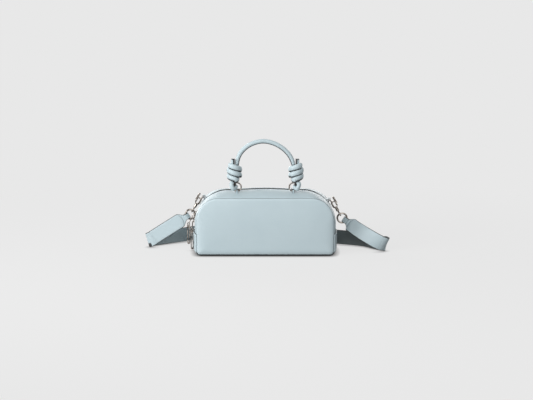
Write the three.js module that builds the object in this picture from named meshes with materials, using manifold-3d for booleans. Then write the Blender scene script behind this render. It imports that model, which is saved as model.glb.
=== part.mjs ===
// Small leather bowling bag with a knotted handle, a two-way zip and a clip-on shoulder strap.
// Millimetres, +X to the right, +Y to the back, +Z up. The origin is the middle of the base, on the floor.
import * as THREE from 'three';
import { mergeVertices } from 'three/addons/utils/BufferGeometryUtils.js';
import Module from 'manifold-3d';

const wasm = await Module();
wasm.setup();

// Clearances
const GAP = 0.3; // between neighbouring pieces
const LOOSE = 0.45; // between pieces that turn or rub on each other
const CUT_PAST = 1; // how far a cutting tool reaches past what it cuts

// Body
const LEATHER = 1.8; // thickness of panels, plackets and gusset
const CREST_HALF_WIDTH = 115.5; // half width of the bag along the zip
const CREST_TOP = 104.5; // height of the zip line in the middle
const CREST_DOME = 2; // how far the zip line falls towards the shoulders
const CREST_RADIUS = 55; // round of the shoulders along the zip
const SEAM_HALF_WIDTH = 110.5; // half width of the panels
const SEAM_TOP = 95; // height of the panels' upper edge
const SEAM_RADIUS = 36; // round of the panels' upper corners
const BAND_HALF_DEPTH = 42.3; // half depth of the band between the two panels
const PANEL_CROWN = 2.6; // how far a panel swells in its middle
const ZIP_MOUTH = 6; // half the distance between the placket edges
const BASE_RADIUS = 12; // round of the gusset's lower corners
const BASE_LIFT = 1.4; // how far the gusset's long edges turn up
const BASE_EDGE_TURN = 75; // degrees through which they turn
const BASE_FLAT = 34; // half depth of the flat underside
const GUSSET_TOP = 36; // height at which the gusset ends on both sides
const GUSSET_LAP = 8; // length of placket under the gusset
const LINING = 0.8;
const LINING_ROOM = 3; // room between the lining and the sliders or the panels' seams
const LINING_TOP = 84; // height of the lining's edge
const LINING_CORNER = 12; // round of the lining's upright corners
const LINING_FOOT = 9; // how far its floor stays inside its walls
const BOARD = 1.5; // thickness of the base board
const BOARD_MARGIN = 7; // how far the board stays inside the lining's ends

// Zip
const TAPE = 0.6;
const TAPE_EDGE = 14; // distance of the tape's sewn edge from the zip line
const TEETH_EDGE = 3.2; // distance of the teeth's outer edge from the zip line
const TEETH_GAP = 0.8; // half the gap between the two rows
const TEETH_HEIGHT = 2;
const STOP_LENGTH = 4;
const SLIDER_LENGTH = 11;
const SLIDER_HALF_WIDTH = 4.7;
const SLIDER_PLATE = 1.5;
const LOWER_SLIDER_ANGLE = 3; // degrees up the left shoulder
const SLIDER_DEPTH = 6; // how far a slider reaches into the bag
const SLIDER_APART = 0.3; // least distance between the two sliders
const BAIL_HEIGHT = 5.8;
const BAIL_LENGTH = 6;
const BAIL_WIDTH = 2;
const BAIL_BAR = 1.2;
const LINK_WIRE = 1.5;
const LINK_HALF_WIDTH = 2.7;
const LOWER_LINK = 14.5; // distance between the two ends of a link
const UPPER_LINK = 21;
const DROP_WIDTH = 5;
const DROP_LENGTH = 34;
const DROP_THICKNESS = 2;
const DROP_EYE = 2.25; // outer radius of the drop's eye
const DROP_SLOT_RADIUS = 0.85;
const DROP_SLOT_TOP = 7.5; // distance of the slot's ends from the eye and from the foot
const DROP_SLOT_FOOT = 4;
const PULL_CLEARANCE = 0.6;

// Handle
const HANDLE_Y = -24;
const KNOT_X = 49.6; // distance of a knot's axis from the middle
const KNOT_BOTTOM = 124.4; // height of the lowest wrap's middle line
const WRAP_PITCH = 9.7;
const WRAP_HALF_THICKNESS = 2.3;
const WRAP_HALF_HEIGHT = 4.5;
const WRAP_TURN = 765; // degrees that the cord winds round the knot
const WRAP_STEP = 15; // degrees between two rings of the winding
const WRAP_START = 130; // angle at which the winding leaves the top of the knot
const WRAP_TILT = 0.17; // slope of the winding towards the middle of the bag
const STANDING_FOOT = 240; // angles of the three strands at the foot of the knot
const RISING_FOOT = 120;
const TAIL_FOOT = 0;
const CORD_SIDES = 6; // flats of the cord's section
const CORE_STRAND = 3; // half thickness of a strand inside the knot
const CORE_RADIUS = 4.35; // distance of the three strands from the knot's axis
const CORE_TWIST = 120; // degrees that the strands turn inside the knot
const GRIP_STRAND = 3.5; // half thickness of the grip
const GRIP_RISE = 38.1; // height of the grip's arc above its legs
const GRIP_LEAN = -3.2; // how far the top of the grip leans to one side
const GRIP_SQUARENESS = 1.85; // 2 is an ellipse
const TAIL_RISE = 12; // how far the cut end stands above the top wrap's middle line
const HANDLE_RING_X = 45.6;
const HANDLE_RING_RADIUS = 6.8; // to the middle of the wire
const HANDLE_RING_WIRE = 2.4;
const HANDLE_TAB_LEATHER = 1.2;
const HANDLE_TAB_WIDTH = 3.2;
const HANDLE_TAB_LENGTH = 20;
const TAB_BEND = 60; // round of the placket under the tab, from front to back
const TAB_SEAT = 0.7; // share of the leather's thickness that lies under the wire
const LEG_RISE = 2; // height of the grip's legs above the top wrap's middle line
const KNOT_FOOT = -3; // where the strands leave the knot, below the lowest wrap's middle line
const TURN_ROOM = 5; // room for the turns between the winding and the strands
const PASSAGE_REACH = 5.5; // how far the cord runs on before it turns
const LOOP_SHIFT = 1; // how far the loop passes the ring outside its middle
const LOOP_HALF_DEPTH = 7.2; // half depth of the loop from front to back
const HANDLE_APART = 20; // length of cord past which two places count as different ones

// Shoulder clips
const CLIP_Y = 18;
const CLIP_SHOULDER_LEFT = 45; // degrees up the shoulder where the D-ring sits
const CLIP_SHOULDER_RIGHT = 38;
const CLIP_FALL_LEFT = 59; // degrees that the clip hangs below level
const CLIP_FALL_RIGHT = 60;
const D_RING_WIRE = 2.5;
const D_RING_HALF_LENGTH = 8;
const D_RING_REACH = 9.6; // from the bar to the bow
const D_RING_CORNER = 3;
const D_RING_FALL_LEFT = 36; // degrees that the D-ring lies below level
const D_RING_FALL_RIGHT = 43;
const D_TAB_LEATHER = 1.5;
const D_TAB_WIDTH = 11;
const D_TAB_LENGTH = 11;
const HOOK_HALF_WIDTH = 4.6;
const HOOK_WALL = 2;
const HOOK_THICKNESS = 3.2;
const HOOK_SLOT = 3.8; // straight length of the jaw
const MOUTH_SHARE = 0.33; // share of the jaw's half width at which the mouth begins
const HOOK_BARREL_RADIUS = 2.6;
const HOOK_BARREL_LENGTH = 6.2;
const GATE_DROP = 1.9; // how far the gate reaches below and above the jaw's straight length
const GATE_RISE = 2.4;
const LEVER_BASE = 3; // height of the thumb lever's foot on the gate
const LEVER_REACH = 3.4;
const LEVER_RISE = 4.4;
const LEVER_TIP = 1.2;
const SWIVEL_PIN_RADIUS = 1.2;
const EYE_RADIUS = 3.6;
const EYE_WIRE = 2;
const STRAP_RING_RADIUS = 7.9;
const STRAP_RING_WIRE = 3;

// Shoulder strap
const STRAP_WIDTH = 24.4;
const STRAP = 2.5; // thickness of the strap
const STRAP_TAB_WIDTH = 9.6; // width of the strap's ends in the rings
const TAB_LOOP = 4.5; // radius of the strap's bend round the ring
const SHOULDER_SHARE = 0.94; // width of the strap where its end begins to narrow
const STRAP_NECK = 5; // length of the strap's narrow end past the ring
const STRAP_RETURN = 13; // length that is turned back behind it
const FOLD_POINT = 5; // number of the route point at the fold
const FOLD_LEAN_LEFT = 16; // degrees that the strap leans out at its folds
const FOLD_LEAN_RIGHT = 19;
const HANK_HALF_LENGTH = 82;
const HANK_FRONT = 62; // distance of the first run behind the bag's middle
const HANK_PITCH = 18;
const HANK_RUNS = 3;
const HANK_APART = 40; // length of strap past which two places count as different ones
const TIE = 0.9;
const TIE_WIDTH = 10;

// Finishes
const LEATHER_BLUE = { color: 0xbfd2d8, roughness: 0.45, metalness: 0 };
const LINING_GREY = { color: 0x8f9aa0, roughness: 0.9, metalness: 0 };
const TAPE_GREY = { color: 0x8c9499, roughness: 0.9, metalness: 0 };
const BOARD_BROWN = { color: 0x8a7a66, roughness: 0.9, metalness: 0 };
const SILVER = { color: 0xcfc8bf, roughness: 0.25, metalness: 1 };

const bag = new THREE.Group();

function addPiece(name, geometry, finish, parent = bag) {
  const mesh = new THREE.Mesh(geometry, new THREE.MeshStandardMaterial(finish));
  mesh.name = name;
  parent.add(mesh);
  return mesh;
}

const radians = THREE.MathUtils.degToRad;
const point = (x, y, z) => new THREE.Vector3(x, y, z);

// Meshes from points and faces

function signedVolume(points, faces) {
  let volume = 0;
  for (const [a, b, c] of faces) {
    volume += points[a].dot(points[b].clone().cross(points[c])) / 6;
  }
  return volume;
}

function meshGeometry(points, faces) {
  const outward = signedVolume(points, faces) > 0;
  const geometry = new THREE.BufferGeometry().setFromPoints(points);
  geometry.setIndex(faces.flatMap(([a, b, c]) => (outward ? [a, b, c] : [a, c, b])));
  return geometry;
}

function quad(faces, a, b, c, d) {
  faces.push([a, b, c], [a, c, d]);
}

// A sheet with thickness between two grids of the same size
function sheetSolid(outer, inner) {
  const rows = outer.length;
  const columns = outer[0].length;
  const points = [...outer.flat(), ...inner.flat()];
  const under = rows * columns;
  const at = (i, j) => i * columns + j;
  const faces = [];
  for (let i = 0; i < rows - 1; i += 1) {
    for (let j = 0; j < columns - 1; j += 1) {
      quad(faces, at(i, j), at(i, j + 1), at(i + 1, j + 1), at(i + 1, j));
      quad(faces, under + at(i, j), under + at(i + 1, j), under + at(i + 1, j + 1), under + at(i, j + 1));
    }
    quad(faces, at(i, 0), at(i + 1, 0), under + at(i + 1, 0), under + at(i, 0));
    const last = columns - 1;
    quad(faces, at(i + 1, last), at(i, last), under + at(i, last), under + at(i + 1, last));
  }
  for (let j = 0; j < columns - 1; j += 1) {
    quad(faces, at(0, j + 1), at(0, j), under + at(0, j), under + at(0, j + 1));
    const last = rows - 1;
    quad(faces, at(last, j), at(last, j + 1), under + at(last, j + 1), under + at(last, j));
  }
  return meshGeometry(points, faces);
}

// A solid of closed rings, one after the other, with a middle point at each end
function ringSolid(rings, firstMiddle, lastMiddle) {
  const count = rings[0].length;
  const points = [...rings.flat(), firstMiddle, lastMiddle];
  const first = rings.length * count;
  const faces = [];
  for (let k = 0; k < count; k += 1) {
    const next = (k + 1) % count;
    faces.push([first, next, k]);
    for (let i = 0; i < rings.length - 1; i += 1) {
      const here = i * count;
      const there = here + count;
      quad(faces, here + k, here + next, there + next, there + k);
    }
    const end = (rings.length - 1) * count;
    faces.push([first + 1, end + k, end + next]);
  }
  return meshGeometry(points, faces);
}

// Outward normals of a grid, turned so that they point away from the bag's middle
function gridNormals(grid) {
  const middle = point(0, 0, CREST_TOP / 2);
  return grid.map((row, i) => row.map((here, j) => {
    const before = grid[Math.max(i - 1, 0)][j];
    const after = grid[Math.min(i + 1, grid.length - 1)][j];
    const left = row[Math.max(j - 1, 0)];
    const right = row[Math.min(j + 1, row.length - 1)];
    const normal = after.clone().sub(before).cross(right.clone().sub(left)).normalize();
    return normal.dot(here.clone().sub(middle)) < 0 ? normal.negate() : normal;
  }));
}

function offsetGrid(grid, distance) {
  const normals = gridNormals(grid);
  return grid.map((row, i) => row.map((here, j) => here.clone().addScaledVector(normals[i][j], distance)));
}

function sheetBetween(grid, top, bottom) {
  return sheetSolid(offsetGrid(grid, top), offsetGrid(grid, bottom));
}

// A cord or wire: rings of an ellipse or a rectangle along stations { at, face, thick, wide }.
// face is the direction of the thickness.
function sweepSolid(stations, sides, closed = false) {
  const count = stations.length;
  const rings = stations.map((station, i) => {
    const before = stations[closed ? (i + count - 1) % count : Math.max(i - 1, 0)].at;
    const after = stations[closed ? (i + 1) % count : Math.min(i + 1, count - 1)].at;
    const along = after.clone().sub(before).normalize();
    const across = along.clone().cross(station.face).normalize();
    const face = across.clone().cross(along);
    const shift = sides === 4 ? Math.PI / 4 : 0;
    const stretch = sides === 4 ? Math.SQRT2 : 1;
    return Array.from({ length: sides }, (_, k) => {
      const turn = shift + (k * 2 * Math.PI) / sides;
      return station.at.clone()
        .addScaledVector(face, Math.cos(turn) * station.thick * stretch)
        .addScaledVector(across, Math.sin(turn) * station.wide * stretch);
    });
  });
  if (!closed) {
    return ringSolid(rings, stations[0].at.clone(), stations[count - 1].at.clone());
  }
  const faces = [];
  for (let i = 0; i < count; i += 1) {
    const there = ((i + 1) % count) * sides;
    for (let k = 0; k < sides; k += 1) {
      const next = (k + 1) % sides;
      quad(faces, i * sides + k, i * sides + next, there + next, there + k);
    }
  }
  return meshGeometry(rings.flat(), faces);
}

// Least distance between surface points of rings that lie further apart along the cord than reach
function leastGap(geometry, sides, stations, reach) {
  const position = geometry.attributes.position;
  const lengths = [0];
  for (let i = 1; i < stations.length; i += 1) {
    lengths.push(lengths[i - 1] + stations[i].at.distanceTo(stations[i - 1].at));
  }
  const surface = stations.map((_, i) => Array.from({ length: sides * 2 }, (__, k) => {
    const here = point().fromBufferAttribute(position, i * sides + (k >> 1));
    const next = point().fromBufferAttribute(position, i * sides + (((k + 1) >> 1) % sides));
    return here.lerp(next, 0.5);
  }));
  let least = Infinity;
  for (let i = 0; i < stations.length; i += 1) {
    for (let j = i + 1; j < stations.length; j += 1) {
      if (lengths[j] - lengths[i] > reach) {
        for (const a of surface[i]) {
          for (const b of surface[j]) {
            least = Math.min(least, a.distanceTo(b));
          }
        }
      }
    }
  }
  return least;
}

// Joining and cutting

function toSolid(geometry) {
  const bare = geometry.index ? geometry.clone() : geometry;
  bare.deleteAttribute('normal');
  bare.deleteAttribute('uv');
  const merged = mergeVertices(bare, 1e-4);
  return new wasm.Manifold(new wasm.Mesh({
    numProp: 3,
    vertProperties: new Float32Array(merged.attributes.position.array),
    triVerts: new Uint32Array(merged.index.array),
  }));
}

function toGeometry(solid) {
  const mesh = solid.getMesh();
  const geometry = new THREE.BufferGeometry();
  geometry.setAttribute('position', new THREE.BufferAttribute(new Float32Array(mesh.vertProperties), 3));
  geometry.setIndex(new THREE.BufferAttribute(new Uint32Array(mesh.triVerts), 1));
  return geometry;
}

function boxBetween(x0, x1, y0, y1, z0, z1) {
  return new THREE.BoxGeometry(x1 - x0, y1 - y0, z1 - z0)
    .translate((x0 + x1) / 2, (y0 + y1) / 2, (z0 + z1) / 2);
}

// A flat plate in the XZ plane, centred on Y
function plateGeometry(shape, thickness, curveSegments = 8) {
  return new THREE.ExtrudeGeometry(shape, { depth: thickness, bevelEnabled: false, curveSegments })
    .translate(0, 0, -thickness / 2)
    .rotateX(Math.PI / 2);
}

// The outlines of the bag

// Height of a domed top at a share of the way from its middle to the shoulder
const domeHeight = (top, dome, share) => top - (dome * (1 - Math.cos(Math.PI * share))) / 2;

// Upper outline from one side, over the top, to the other side. The top is higher in the middle by dome.
function archOutline(halfWidth, top, radius, start, dome = 0) {
  const shoulder = top - dome - radius;
  const outline = [];
  const sideSteps = 3;
  const cornerSteps = 12;
  const topSteps = 8;
  for (let i = 0; i < sideSteps; i += 1) {
    outline.push([-halfWidth, THREE.MathUtils.lerp(start, shoulder, i / sideSteps)]);
  }
  for (let i = 0; i < cornerSteps; i += 1) {
    const turn = (Math.PI / 2) * (i / cornerSteps);
    outline.push([-halfWidth + radius - radius * Math.cos(turn), shoulder + radius * Math.sin(turn)]);
  }
  for (let i = 0; i <= topSteps / 2; i += 1) {
    const share = i / (topSteps / 2);
    outline.push([THREE.MathUtils.lerp(-halfWidth + radius, 0, share), domeHeight(top, dome, 1 - share)]);
  }
  const mirrored = outline.slice(0, -1).reverse().map(([x, z]) => [-x, z]);
  return [...outline, ...mirrored];
}

// Lower outline from one side, under the base, to the other side
function cradleOutline(halfWidth, top, bottom, radius) {
  const outline = [[-halfWidth, top], [-halfWidth, (top + bottom + radius) / 2]];
  const cornerSteps = 6;
  for (let i = 0; i <= cornerSteps; i += 1) {
    const turn = (Math.PI / 2) * (i / cornerSteps);
    outline.push([-halfWidth + radius - radius * Math.cos(turn), bottom + radius - radius * Math.sin(turn)]);
  }
  outline.push([(-halfWidth + radius) / 2, bottom]);
  const mirrored = [...outline].reverse().map(([x, z]) => [-x, z]);
  return [...outline, [0, bottom], ...mirrored];
}

const lapStart = GUSSET_TOP - GUSSET_LAP;
const crest = archOutline(CREST_HALF_WIDTH, CREST_TOP, CREST_RADIUS, lapStart, CREST_DOME);
const seam = archOutline(SEAM_HALF_WIDTH, SEAM_TOP, SEAM_RADIUS, lapStart);

// How far across the band a depth lies, from the mouth of the zip to the seam
const acrossBand = (y) => Math.max(Math.abs(y) - ZIP_MOUTH, 0) / (BAND_HALF_DEPTH - ZIP_MOUTH);

function bandPoint([crestX, crestZ], [seamX, seamZ], y) {
  const fall = acrossBand(y) ** 2;
  return point(THREE.MathUtils.lerp(crestX, seamX, fall), y, THREE.MathUtils.lerp(crestZ, seamZ, fall));
}

const bandGrid = (depths) => crest.map((here, i) => depths.map((y) => bandPoint(here, seam[i], y)));

// A spot on the shoulder's round at an angle up from level, at a depth
function shoulderPoint(side, degrees, y) {
  const turn = radians(degrees);
  const onArc = (halfWidth, top, radius) => [
    side * (halfWidth - radius + radius * Math.cos(turn)),
    top - radius + radius * Math.sin(turn),
  ];
  const crestSpot = onArc(CREST_HALF_WIDTH, CREST_TOP - CREST_DOME, CREST_RADIUS);
  return bandPoint(crestSpot, onArc(SEAM_HALF_WIDTH, SEAM_TOP, SEAM_RADIUS), y);
}

// Plackets: the two bands that carry the zip

const bandShares = [0, 0.25, 0.5, 0.75, 0.9, 1];
const bandDepths = bandShares.map((share) => THREE.MathUtils.lerp(ZIP_MOUTH, BAND_HALF_DEPTH, share));
for (const [name, side] of [['front', -1], ['rear', 1]]) {
  const grid = bandGrid(bandDepths.map((y) => side * y));
  addPiece(`zip_placket_${name}`, sheetBetween(grid, 0, -LEATHER), LEATHER_BLUE);
}

// Gusset: the base and the lower sides in one strip, lapped over the ends of the plackets

const gussetStand = LEATHER + GAP; // how far the gusset stands outside the plackets
const edgeSteps = [0, 0.35, 0.7, 1];
const gussetDepths = [[0, 0], ...edgeSteps.map((step) => {
  const turn = radians(BASE_EDGE_TURN * step);
  const end = radians(BASE_EDGE_TURN);
  const depth = BASE_FLAT + (BAND_HALF_DEPTH - BASE_FLAT) * (Math.sin(turn) / Math.sin(end));
  return [depth, (1 - Math.cos(turn)) / (1 - Math.cos(end))];
})];
const gussetAcross = [...gussetDepths.slice(1).reverse().map(([y, rise]) => [-y, rise]), ...gussetDepths];
const gussetMiddle = cradleOutline(CREST_HALF_WIDTH + gussetStand, GUSSET_TOP, 0, BASE_RADIUS);
const gussetEdge = cradleOutline(SEAM_HALF_WIDTH + gussetStand, GUSSET_TOP, BASE_LIFT, BASE_RADIUS);
const gussetGrid = gussetMiddle.map(([x, z], i) => gussetAcross.map(([y, rise]) => point(
  THREE.MathUtils.lerp(x, gussetEdge[i][0], rise),
  y,
  THREE.MathUtils.lerp(z, gussetEdge[i][1], rise),
)));
addPiece('base_gusset', sheetBetween(gussetGrid, 0, -LEATHER), LEATHER_BLUE);

// Front and rear panels: crowned sheets with a rounded rim

const panelBottom = BASE_LIFT + GAP;
const panelRound = archOutline(SEAM_HALF_WIDTH, SEAM_TOP, SEAM_RADIUS, panelBottom + BASE_RADIUS);
const panelLower = cradleOutline(SEAM_HALF_WIDTH, panelBottom + BASE_RADIUS, panelBottom, BASE_RADIUS);
const panelOutline = [...panelRound, ...[...panelLower].reverse().slice(2, -2)];
const panelMiddleZ = (SEAM_TOP + panelBottom) / 2;

function panelRing(side, share, depth) {
  const height = (z) => panelMiddleZ + (z - panelMiddleZ) * share;
  return panelOutline.map(([x, z]) => point(x * share, side * depth, height(z)));
}

const rimDepth = BAND_HALF_DEPTH + GAP;
const crownAt = (share) => PANEL_CROWN * (1 - share ** 2);
for (const [name, side] of [['front', -1], ['rear', 1]]) {
  const outerShares = [0.985, 0.93, 0.75, 0.4];
  const innerShares = [0.4, 0.75, 0.965];
  const outer = outerShares.map((share) => panelRing(side, share, rimDepth + LEATHER + crownAt(share)));
  const inner = innerShares.map((share) => panelRing(side, share, rimDepth + crownAt(share)));
  const rim = [panelRing(side, 1, rimDepth), panelRing(side, 1, rimDepth + LEATHER / 2)];
  const outerMiddle = point(0, side * (rimDepth + LEATHER + PANEL_CROWN), panelMiddleZ);
  const innerMiddle = point(0, side * (rimDepth + PANEL_CROWN), panelMiddleZ);
  const rings = [...[...outer].reverse(), ...[...rim].reverse(), ...[...inner].reverse()];
  addPiece(`${name}_panel`, ringSolid(rings, outerMiddle, innerMiddle), LEATHER_BLUE);
}

// Base board and lining

const shoulderHeight = CREST_TOP - CREST_DOME - CREST_RADIUS;

const boardTop = LEATHER + GAP + BOARD;
const liningHalfWidth = Math.min(CREST_HALF_WIDTH - SLIDER_DEPTH, SEAM_HALF_WIDTH - LEATHER) - LINING_ROOM;
const liningHalfDepth = BAND_HALF_DEPTH - LEATHER - GAP;
const boardHalfWidth = liningHalfWidth - BOARD_MARGIN;
const boardHalfDepth = BASE_FLAT - GAP;
addPiece('base_board', boxBetween(-boardHalfWidth, boardHalfWidth, -boardHalfDepth, boardHalfDepth,
  LEATHER + GAP, boardTop), BOARD_BROWN);

// One level of the lining: a rounded oblong that follows the bag's outline
function liningRing(z, inset) {
  const above = Math.max(z - shoulderHeight, 0);
  const narrowing = CREST_RADIUS - Math.sqrt(Math.max(CREST_RADIUS ** 2 - above ** 2, 0));
  const halfWidth = liningHalfWidth - narrowing - inset;
  const halfDepth = liningHalfDepth - inset;
  const ring = [];
  for (const [sx, sy, start] of [[1, 1, 0], [-1, 1, 90], [-1, -1, 180], [1, -1, 270]]) {
    for (let i = 0; i <= 3; i += 1) {
      const turn = radians(start + i * 30);
      ring.push(point(
        sx * (halfWidth - LINING_CORNER) + LINING_CORNER * Math.cos(turn),
        sy * (halfDepth - LINING_CORNER) + LINING_CORNER * Math.sin(turn),
        z,
      ));
    }
  }
  return ring;
}

const liningBottom = boardTop + GAP;
const liningLevels = [0, 0.13, 0.65, 0.8, 0.9, 1];
const liningHeight = (level, floor) => THREE.MathUtils.lerp(floor, LINING_TOP, level);
const liningOuter = liningLevels.map((level, i) =>
  liningRing(liningHeight(level, liningBottom), i === 0 ? LINING_FOOT : 0)
);
const liningInner = liningLevels.map((level, i) => (
  liningRing(liningHeight(level, liningBottom + LINING), LINING + (i === 0 ? LINING_FOOT : 0))
));
addPiece('lining', ringSolid([...liningOuter, ...liningInner.reverse()], point(0, 0, liningBottom),
  point(0, 0, liningBottom + LINING)), LINING_GREY);

// Zip: tapes, teeth, stops

const tapeTop = -(LEATHER + GAP);
const teethTop = tapeTop + (TEETH_HEIGHT - TAPE) / 2;
const teethBottom = teethTop - TEETH_HEIGHT;
const tapeEdge = TEETH_EDGE + GAP;
const zipStart = lapStart + STOP_LENGTH + GAP;
for (const [name, side] of [['front', -1], ['rear', 1]]) {
  const tape = bandGrid([tapeEdge, TAPE_EDGE].map((y) => side * y));
  addPiece(`zip_tape_${name}`, sheetBetween(tape, tapeTop, tapeTop - TAPE), TAPE_GREY);
  const zipCrest = archOutline(CREST_HALF_WIDTH, CREST_TOP, CREST_RADIUS, zipStart, CREST_DOME);
  const teeth = zipCrest.map(([x, z]) => [TEETH_GAP, TEETH_EDGE].map((y) => point(x, side * y, z)));
  addPiece(`zip_teeth_${name}`, sheetBetween(teeth, teethTop, teethBottom), SILVER);
}
for (const [name, side] of [['left', -1], ['right', 1]]) {
  const inside = CREST_HALF_WIDTH + teethBottom;
  const outside = CREST_HALF_WIDTH + teethTop + GAP;
  const stop = boxBetween(inside, outside, -TEETH_EDGE, TEETH_EDGE, lapStart, lapStart + STOP_LENGTH);
  addPiece(`zip_stop_${name}`, side > 0 ? stop : stop.rotateZ(Math.PI), SILVER);
}

// Zip sliders with their pulls. A slider is drawn with X along the zip and Z out of the bag.

const sliderBottom = teethBottom - 2 * LOOSE;
const sliderTop = teethTop + GAP + SLIDER_PLATE;
// Height of the link's end in the bail
const bailWire = sliderTop + BAIL_HEIGHT - BAIL_BAR - GAP - LINK_WIRE / 2;

function sliderGeometry() {
  const half = SLIDER_LENGTH / 2;
  const width = SLIDER_HALF_WIDTH;
  const upper = toSolid(boxBetween(-half, half, -width, width, teethTop + GAP, sliderTop));
  const lower = toSolid(boxBetween(-half, half, -width, width, sliderBottom - SLIDER_PLATE, sliderBottom));
  const post = TEETH_GAP - GAP;
  const wedge = toSolid(boxBetween(-half, half, -post, post, sliderBottom - SLIDER_PLATE, sliderTop));
  const bailTop = sliderTop + BAIL_HEIGHT;
  const bailHalf = BAIL_LENGTH / 2;
  const bailSide = BAIL_WIDTH / 2;
  const bailFoot = sliderTop - SLIDER_PLATE / 2;
  const bail = toSolid(boxBetween(-bailHalf, bailHalf, -bailSide, bailSide, bailFoot, bailTop));
  const hole = toSolid(boxBetween(BAIL_BAR - bailHalf, bailHalf - BAIL_BAR, -BAIL_WIDTH, BAIL_WIDTH,
    sliderTop, bailTop - BAIL_BAR));
  return toGeometry(upper.add(lower).add(wedge).add(bail.subtract(hole)));
}

// Closed wire loop with round corners: from z 0 down to -length, width along Y
function wireLoop(halfWidth, length, corner, wire, sides = 6) {
  const stations = [];
  const corners = [[1, 0, 0], [1, -length, 270], [-1, -length, 180], [-1, 0, 90]];
  for (const [side, z, start] of corners) {
    for (let i = 0; i <= 3; i += 1) {
      const turn = radians(start + 90 - i * 30);
      const middleZ = z === 0 ? -corner : z + corner;
      stations.push({
        at: point(
          0,
          side * (halfWidth - corner) + corner * Math.cos(turn),
          middleZ + corner * Math.sin(turn)
        ),
        face: point(1, 0, 0),
        thick: wire / 2,
        wide: wire / 2,
      });
    }
  }
  return sweepSolid(stations, sides, true);
}

function dropGeometry() {
  const half = DROP_WIDTH / 2;
  const shape = new THREE.Shape();
  shape.absarc(0, 0, DROP_EYE, radians(-30), radians(210), false);
  shape.lineTo(-half, half * 2 - DROP_LENGTH);
  shape.absarc(0, half - DROP_LENGTH, half, Math.PI, 2 * Math.PI, false);
  shape.closePath();
  const hole = new THREE.Path();
  hole.absarc(0, 0, LINK_WIRE / 2 + LOOSE, 0, 2 * Math.PI, true);
  const slot = new THREE.Path();
  slot.absarc(0, -DROP_SLOT_TOP, DROP_SLOT_RADIUS, 0, Math.PI, false);
  slot.absarc(0, DROP_SLOT_FOOT - DROP_LENGTH, DROP_SLOT_RADIUS, Math.PI, 2 * Math.PI, false);
  slot.closePath();
  shape.holes.push(hole, slot);
  return plateGeometry(shape, DROP_THICKNESS, 5);
}

const shoulderMiddle = point(-(CREST_HALF_WIDTH - CREST_RADIUS), 0, shoulderHeight);
const gussetSide = -(CREST_HALF_WIDTH + gussetStand);
const lowerDropX = gussetSide - PULL_CLEARANCE - DROP_WIDTH / 2;
const upperDropX = lowerDropX - PULL_CLEARANCE - DROP_WIDTH;
const sliderStep = 2 * Math.atan((SLIDER_LENGTH + SLIDER_APART) / 2 / (CREST_RADIUS - SLIDER_DEPTH));
const pulls = [
  ['lower', LOWER_SLIDER_ANGLE, LOWER_LINK, lowerDropX],
  ['upper', LOWER_SLIDER_ANGLE + THREE.MathUtils.radToDeg(sliderStep), UPPER_LINK, upperDropX],
];
for (const [name, degrees, linkLength, dropX] of pulls) {
  const turn = radians(degrees);
  const outward = point(-Math.cos(turn), 0, Math.sin(turn));
  const slider = addPiece(`zip_slider_${name}`, sliderGeometry(), SILVER);
  slider.position.copy(shoulderMiddle).addScaledVector(outward, CREST_RADIUS);
  slider.rotation.y = turn - Math.PI / 2;
  const bailAt = shoulderMiddle.clone().addScaledVector(outward, CREST_RADIUS + bailWire);
  const link = addPiece(`pull_link_${name}`,
    wireLoop(LINK_HALF_WIDTH, linkLength, LINK_HALF_WIDTH - LINK_WIRE, LINK_WIRE), SILVER);
  link.position.copy(bailAt);
  const lean = Math.asin((bailAt.x - dropX) / linkLength);
  link.rotation.y = lean;
  const drop = addPiece(`pull_drop_${name}`, dropGeometry(), SILVER);
  drop.position.set(dropX, 0, bailAt.z - linkLength * Math.cos(lean));
}

// Handle: rings, the tabs that hold them, and one cord with a knot at each end

// A loop of leather over a wire, sewn to a plate that lies on a spot of the bag.
// X runs along the wire, Y along the plate, Z out of the bag; the plate follows a round of radius bend.
function tabGeometry(width, length, leather, bore, bend) {
  const steps = 6;
  const grid = Array.from({ length: steps + 1 }, (_, i) => {
    const along = length * (i / steps - 0.5);
    const turn = along / bend;
    return [-width / 2, width / 2].map((x) => point(x, bend * Math.sin(turn), bend * (Math.cos(turn) - 1)));
  });
  const lift = (row, height) => row.map((here) => here.clone().add(point(0, 0, height)));
  const top = grid.map((row) => lift(row, GAP + leather));
  const bottom = grid.map((row) => lift(row, GAP));
  const plate = toSolid(sheetSolid(top, bottom));
  const middle = tabBoreHeight(leather, bore);
  const lying = (radius, long) => toSolid(
    new THREE.CylinderGeometry(radius, radius, long, 16).rotateZ(Math.PI / 2).translate(0, 0, middle),
  );
  const below = toSolid(boxBetween(-width, width, -length, length, -middle * 2, GAP));
  const loop = lying(bore + leather, width).subtract(below);
  return toGeometry(plate.add(loop).subtract(lying(bore, width * 2)));
}

function tabBoreHeight(leather, bore) {
  return GAP + leather * TAB_SEAT + bore;
}

const handleCrest = domeHeight(CREST_TOP, CREST_DOME, HANDLE_RING_X / (CREST_HALF_WIDTH - CREST_RADIUS));
const handleSurface = bandPoint([0, handleCrest], [0, SEAM_TOP], HANDLE_Y);
const handleFall = bandPoint([0, handleCrest], [0, SEAM_TOP], HANDLE_Y - 1).sub(handleSurface);
const handleLean = Math.atan2(-handleFall.z, 1);
const ringSag = HANDLE_RING_RADIUS - Math.sqrt(HANDLE_RING_RADIUS ** 2 - (HANDLE_TAB_WIDTH / 2) ** 2);
const handleBore = HANDLE_RING_WIRE / 2 + ringSag / 2 + LOOSE;
const handleBoreHeight = GAP + tabBoreHeight(HANDLE_TAB_LEATHER, handleBore);
const ringY = HANDLE_Y - handleBoreHeight * Math.sin(handleLean);
const ringBottomZ = handleSurface.z + handleBoreHeight * Math.cos(handleLean) - ringSag / 2;
const ringMiddleZ = ringBottomZ + HANDLE_RING_RADIUS;
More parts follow.
